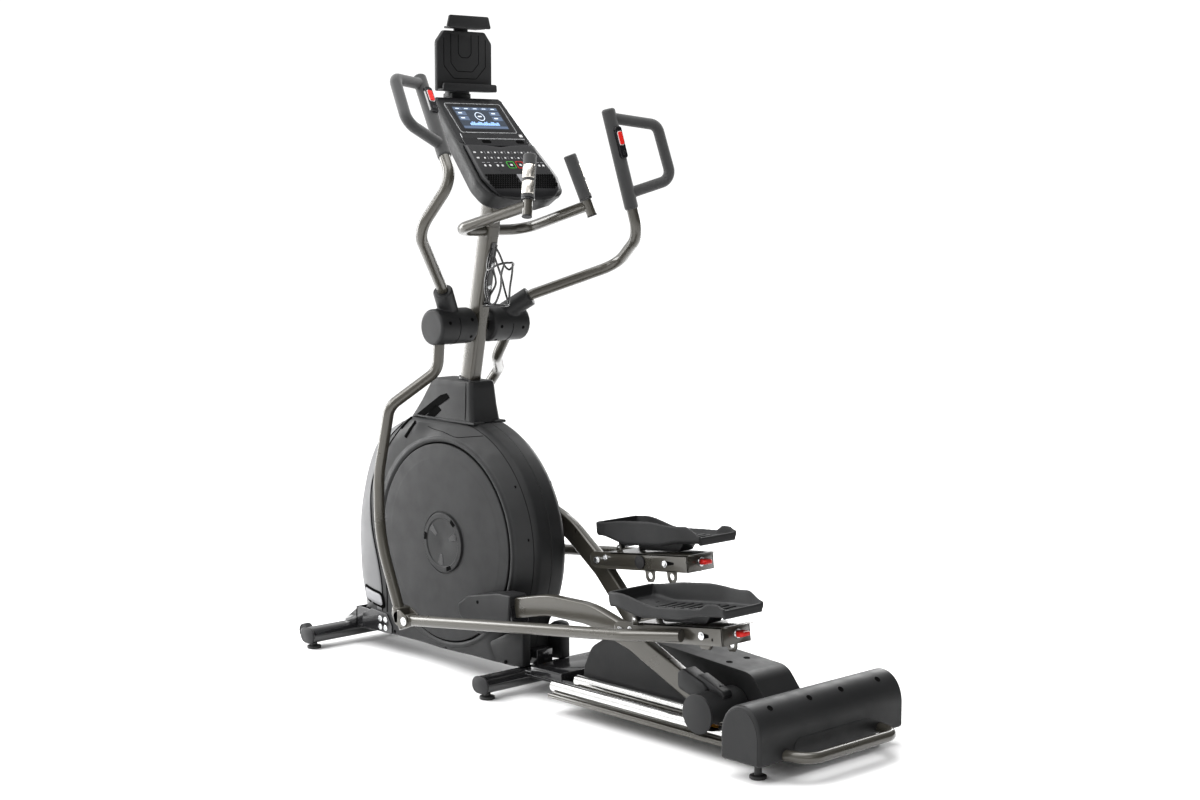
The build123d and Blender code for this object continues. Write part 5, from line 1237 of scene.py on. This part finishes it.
shell_line = mirrored([(60, 1), (117, 1), (125, 12), (137, 170), (154, 330), (139, 385), (60, 404)],
                      [0, 6, 14, 200, 60, 40, 0], 6)
base_line = [(x * 0.94, d * 0.975 + 4) for x, d in shell_line]
body_rows = [[on_face(x, d, 0) for x, d in shell_line], [on_face(x, d, -14) for x, d in shell_line],
             [on_face(x * 0.985, d * 0.99 + 2, -20) for x, d in shell_line],
             [on_face(x, d, -50) for x, d in base_line],
             [on_face(x * 0.96, d * 0.985 + 3, -57) for x, d in base_line]]
shell = soften(loft("console_shell", body_rows), 2.5, 3)
tail = face_slab("console_tail", face_rect(-60, 60, 190, 310, 20), -90, -54, 4, 3)
neck = block("console_neck", (-36, 480, 1644), (36, 522, 1700), 3)
yoke = block("console_yoke", (-38, 488, 1690), (38, 512, 1716), 3)
finish(join("console_housing", [shell, tail, neck, yoke]), "shell_dark", "root", "console_base", "console_face")

upper = mirrored([(50, 5), (112, 5), (120, 16), (133, 184), (60, 190)], [0, 5, 12, 8, 4], 8)
upper = face_slab("console_upper", upper, -1, 1.6, 1.0)
finish(upper, "face_plastic", "root", slot="face_plastic")
keypad_rows = []
for down, half, out in ((196, 128, 0.2), (198, 129, 8), (204, 130, 10), (280, 138, 12), (330, 143, 12.5),
                        (372, 128, 10), (392, 104, 4), (398, 92, -3)):
    keypad_rows.append([on_face(half * t, down + (10 * (1 - abs(t)) ** 2 if down < 210 else 0)
                                + (6 * (1 - t * t) if down > 340 else 0), out - 1.5 * abs(t) ** 6)
                        for t in [k / 12 - 1 for k in range(25)]])
keypad = sheet("console_keypad", keypad_rows, 40)
apply(keypad, "SOLIDIFY", thickness=5 * MM, offset=-1)
finish(keypad, "face_plastic", "root", slot="face_plastic")
ledge = face_slab("console_ledge", face_rect(-120, 120, 166, 200, 8), 0, 4.5, 2.0)
finish(ledge, "gloss_black", "root", slot="face_plastic")
# painted shade: the two ledge slots are near-black plates, not openings
for k, (x0, x1) in enumerate(((-52, -18), (76, 106))):
    finish(face_slab(f"ledge_slot_{k}", face_rect(x0, x1, 176, 189, 6), 3.6, 5.0, 0.5), "recess", "root")
finish(face_slab("ledge_groove", face_rect(-62, 116, 170, 173, 1.4), 4, 5.1, 0.3), "silver_trim", "root",
       slot="rail_steel")


def frame_ring(name, outer, inner, out0, out1):
    """A flat ring between two outlines that have the same number of points."""
    count = len(outer)
    verts = [on_face(x, d, out) for out in (out0, out1) for line in (outer, inner) for x, d in line]
    faces = []
    for i in range(count):
        j = (i + 1) % count
        faces += [(i, j, count + j, count + i), (2 * count + i, 3 * count + i, 3 * count + j, 2 * count + j),
                  (i, 2 * count + i, 2 * count + j, j), (count + i, count + j, 3 * count + j, 3 * count + i)]
    return build(name, verts, faces)


bezel = frame_ring("bezel", face_rect(-106, 106, 27, 146, 9), face_rect(-103.6, 103.6, 29.4, 143.6, 7.5), 1, 2.7)
finish(bezel, "silver_trim", "root", slot="rail_steel")
finish(face_slab("screen_surround", face_rect(-97, 97, 34, 137, 6), 1.2, 2.2, 0.5), "gloss_black", "root",
       slot="face_plastic")
finish(face_slab("screen_glass", face_rect(-84, 84, 42, 130, 2), 2.0, 2.8), "screen_back", "root", "display",
       slot="screen")
tiles = []
for k in range(5):
    tiles.append(face_slab("tile", face_rect(-82 + 33 * k, -51 + 33 * k, 44, 54, 1.5), 2.7, 3.0))
for x in (-80, 44):
    tiles.append(face_slab("tile", face_rect(x, x + 36, 60, 76, 1.5), 2.7, 3.0))
    tiles.append(face_slab("tile", face_rect(x, x + 36, 80, 96, 1.5), 2.7, 3.0))
tiles.append(face_slab("tile", face_rect(-82, 82, 119, 128, 1.5), 2.7, 3.0))
finish(join("screen_tiles", tiles), "screen_tile", "root", slot="screen")
bars = []
for k in range(26):
    height = 5 + 6 * abs(sin(k * 0.55)) + 4 * abs(sin(k * 1.7 + 1))
    bars.append(face_slab("bar", face_rect(-52 + 4.2 * k, -49 + 4.2 * k, 116 - height, 116), 2.9, 3.3))
finish(join("screen_chart", bars), "screen_blue", "root", slot="screen")
rings = [[polar((0, 80), radius, a) for a in range(0, 360, 10)] for radius in (17, 14.6)]
dial = [frame_ring("dial", *rings, 2.9, 3.3)]
for x, d in ((-66, 67), (58, 67), (-66, 87), (58, 87), (0, 80)):
    dial += [face_slab("mark", face_rect(x - 7, x + 7, d - 2.4, d + 2.4, 1), 2.9, 3.3)]
for k in range(5):
    dial.append(face_slab("mark", face_rect(-74 + 33 * k, -60 + 33 * k, 47.5, 50.5, 1), 2.9, 3.3))
finish(join("screen_marks", dial), "screen_pale", "root", slot="screen")
corner = [on_face(-112, 150, 1.8), on_face(-116, 176, 1.8), on_face(-104, 184, 1.8)]
finish(sweep("corner_line", rounded(corner, 6), circle(0.9, 8)), "silver_trim", "root", slot="rail_steel")
finish(face_slab("corner_emblem", face_rect(106, 119, 150, 160, 2), 1.2, 2.0, 0.3), "print_white", "root",
       slot="face_plastic")


def keypad_out(down):
    """How far the key panel's face stands out at a distance down the console."""
    places = [(196, 0.2), (204, 10), (280, 12), (330, 12.5), (372, 10), (392, 4)]
    for (d0, o0), (d1, o1) in zip(places, places[1:]):
        if d0 <= down <= d1:
            return o0 + (o1 - o0) * (down - d0) / (d1 - d0)
    return 4


marks, shades = [], []
for row, down in enumerate((232, 254)):
    out = keypad_out(down)
    for k in range(9):
        x = -112 + 25 * k
        wide = 5.5 if k else 9
        key = face_rect(x - wide / 2, x + wide / 2, down - 2.6, down + 2.6, 0.8)
        marks.append(face_slab("key", key, out, out + 0.7))
        if k:
            shades.append(face_slab("tick", face_rect(x + 11.5, x + 12.5, down - 5, down + 5), out, out + 0.6))
for x in (-104, -86, -58, -40, 56, 74, 98, 114):
    out = keypad_out(284)
    marks.append(face_slab("key", face_rect(x - 3.5, x + 3.5, 281, 288, 2), out, out + 0.7))
    shades.append(face_slab("tick", face_rect(x - 5, x + 5, 272, 274), out, out + 0.6))
finish(join("key_marks", marks), "print_white", "root", slot="face_plastic")
finish(join("key_labels", shades), "print_grey", "root", slot="face_plastic")
for label, x, tint in (("start_key", -6, "print_green"), ("stop_key", 28, "red_plastic")):
    out = keypad_out(284)
    ring = frame_ring(label, face_rect(x - 14, x + 14, 269, 295, 4), face_rect(x - 12.4, x + 12.4, 270.6, 293.4, 3),
                      out - 0.4, out + 0.9)
    finish(ring, tint, "root", slot="face_plastic")
    pad = face_slab(label + "_pad", face_rect(x - 11, x + 11, 272, 292, 3), out - 0.4, out + 0.5, 0.3)
    finish(pad, "gloss_black", "root", slot="face_plastic")
    finish(face_slab(label + "_mark", face_rect(x - 4, x + 4, 279, 286, 1.5), out, out + 1), "print_white", "root",
           slot="face_plastic")
# painted shade: the speaker holes are near-black hexagons raised on the key panel, not openings
grille = []
for x0, x1 in ((-122, -14), (36, 126)):
    for row in range(7):
        down = 322 + row * 7.6
        for col in range(int((x1 - x0) / 8.8) + 1):
            x = x0 + col * 8.8 + (4.4 if row % 2 else 0)
            limit = 132 - max(0, down - 345) * 0.75
            if abs(x) > limit or x > x1:
                continue
            hexagon = [polar((x, down), 4.1, 60 * a + 30) for a in range(6)]
            out = keypad_out(down) - 0.12 * (1 - (x / 135) ** 2)
            grille.append(face_slab("cell", hexagon, out - 1, out + 0.9))
finish(join("speaker_cells", grille), "recess", "root", slot="face_plastic")
emblem = outline_of([(-10, 318), (32, 318), (28, 362), (-6, 362)], 4)
finish(face_slab("lower_emblem", emblem, 11, 13.2, 0.6), "print_grey", "root", slot="face_plastic")
edge = [on_face(x + 0.6, d, -3) for x, d in ((118, 6), (126, 14), (132, 90), (138, 170), (147, 260))]
finish(sweep("console_trim", rounded(edge, [6, 40, 40], step=8), circle(2.0, 12)), "silver_trim", "root",
       slot="rail_steel")

# ---------------------------------------------------------------- tablet holder
TABLET_Y, TABLET_LOW, TABLET_HIGH, TABLET_HALF = 464, 1704, 1878, 102


def plate_slab(name, outline, y0, y1, bevel):
    """An (x, z) outline facing the user, from y0 to y1."""
    return soften(loft(name, [[(x, y, z) for x, z in outline] for y in (y0, y1)]), bevel, 3)


plate = mirrored([(20, TABLET_LOW), (TABLET_HALF, TABLET_LOW), (TABLET_HALF, 1846), (76, TABLET_HIGH),
                  (20, TABLET_HIGH)], [0, 5, 16, 12, 0], 8)
back = plate_slab("tablet_back", plate, TABLET_Y, TABLET_Y + 14, 2.5)
shelf = block("tablet_shelf", (-101, TABLET_Y - 25, TABLET_LOW), (101, TABLET_Y + 2, TABLET_LOW + 7), 2.5)
lip = mirrored([(20, TABLET_LOW + 1), (101, TABLET_LOW + 1), (99, TABLET_LOW + 22), (20, TABLET_LOW + 22)],
               [0, 4, 6, 0])
front = plate_slab("tablet_lip", lip, TABLET_Y - 26, TABLET_Y - 20, 1.5)
arm = block("tablet_arm", (-32, 477, 1716.5), (32, 513, 1744), 3)
guide = [block("tablet_guide", (x0, 476, 1812), (x1, 490, 1876), 1.2) for x0, x1 in ((-31, -25.6), (25.6, 31))]
guide.append(block("tablet_guide_back", (-31, 486.8, 1812), (31, 490, 1876), 1))
finish(join("tablet_holder", [back, shelf, front, arm] + guide), "shell_dark", "root", "tablet_plate")
for k, (half, low) in enumerate(((78, 1742), (52, 1762), (24, 1802))):
    cut_in, high = half * 0.45, 1856 if k == 0 else 1868
    line = [Vector((x, TABLET_Y - 0.1, z)) for x, z in ((-half, high), (-half, low + cut_in), (-half + cut_in, low),
                                                        (half - cut_in, low), (half, low + cut_in), (half, high))]
    seam(f"tablet_groove_{k}", rounded(line, 12, step=12), 0.9)
jaw = mirrored([(20, 1886), (82, 1886), (72, 1921), (20, 1921)], [0, 5, 6, 0])
jaw = plate_slab("clamp_jaw", jaw, 441, 448.5, 1.8)
top = block("clamp_top", (-60, 442, 1884.5), (60, 486, 1891), 2)
tongue = block("clamp_tongue", (-25, 479, 1752), (25, 486, 1889), 1.5)
finish(join("tablet_clamp_slider", [jaw, top, tongue]), "shell_dark", "tablet_clamp", "tablet_clamp")

# ---------------------------------------------------------------- floor, light and camera
FLOOR = 60000
floor = build("floor", [(x * FLOOR, y * FLOOR, 0) for x, y in ((-1, -1), (1, -1), (1, 1), (-1, 1))], [(0, 1, 2, 3)])
paper = Shader("studio_floor", rough=0.85)
paper.vary_color((0.93, 0.93, 0.93), 0.01, 3.0)
floor.data.materials.append(paper.material)


def area_light(name, place, target, size, power):
    """A soft rectangular light aimed at a point, in metres and watts."""
    data = bpy.data.lights.new(name, "AREA")
    data.shape, data.size, data.size_y, data.energy = "RECTANGLE", size[0], size[1], power
    lamp = bpy.data.objects.new(name, data)
    lamp.location = place
    lamp.rotation_euler = (Vector(target) - Vector(place)).to_track_quat("-Z", "Y").to_euler()
    bpy.context.scene.collection.objects.link(lamp)


area_light("key_left", (-3.2, 1.6, 3.2), (0, 0.1, 0.8), (2.2, 2.2), 90)
area_light("rim_front", (-1.6, 4.2, 1.6), (0, 0.6, 0.6), (1.6, 2.8), 130)
area_light("rim_right", (3.6, 1.2, 2.0), (0, 0.1, 0.7), (1.6, 2.6), 90)
area_light("top", (0, -0.4, 4.2), (0, 0, 0.5), (3.0, 3.0), 80)
area_light("front_fill", (-2.4, -4.6, 2.6), (0, 0, 0.8), (2.6, 2.0), 22)

overhead = bpy.data.lights.new("overhead", "SUN")
overhead.energy, overhead.angle = 1.7, radians(70)
lamp = bpy.data.objects.new("overhead", overhead)
lamp.rotation_euler = (radians(-18), radians(-14), 0)
bpy.context.scene.collection.objects.link(lamp)

world = bpy.data.worlds.new("studio")
world.use_nodes = True
sky = world.node_tree
ground = sky.nodes["Background"]
where = sky.nodes.new("ShaderNodeTexCoord").outputs["Generated"]
toward = sky.nodes.new("ShaderNodeVectorMath")
toward.operation = "DOT_PRODUCT"
toward.inputs[1].default_value = (-0.55, 0.55, 0.62)
sky.links.new(where, toward.inputs[0])
shade = sky.nodes.new("ShaderNodeMapRange")
shade.inputs["From Min"].default_value, shade.inputs["From Max"].default_value = -0.35, 0.8
shade.inputs["To Min"].default_value, shade.inputs["To Max"].default_value = 0.09, 1.1
sky.links.new(toward.outputs["Value"], shade.inputs["Value"])
seen = sky.nodes.new("ShaderNodeLightPath")
strength = sky.nodes.new("ShaderNodeMix")
sky.links.new(seen.outputs["Is Camera Ray"], strength.inputs["Factor"])
sky.links.new(shade.outputs["Result"], strength.inputs["A"])
strength.inputs["B"].default_value = 1.1
sky.links.new(strength.outputs["Result"], ground.inputs["Strength"])
ground.inputs["Color"].default_value = (1, 1, 1, 1)
bpy.context.scene.world = world

lens = bpy.data.cameras.new("photo_camera")
lens.lens, lens.sensor_width = 59.82, 36
camera = bpy.data.objects.new("photo_camera", lens)
camera.location = (-3.734, -4.09, 1.455)
camera.rotation_euler = (radians(83.64), 0, radians(-43.18))
bpy.context.scene.collection.objects.link(camera)
bpy.context.scene.camera = camera
bpy.context.scene.view_settings.view_transform = "Standard"
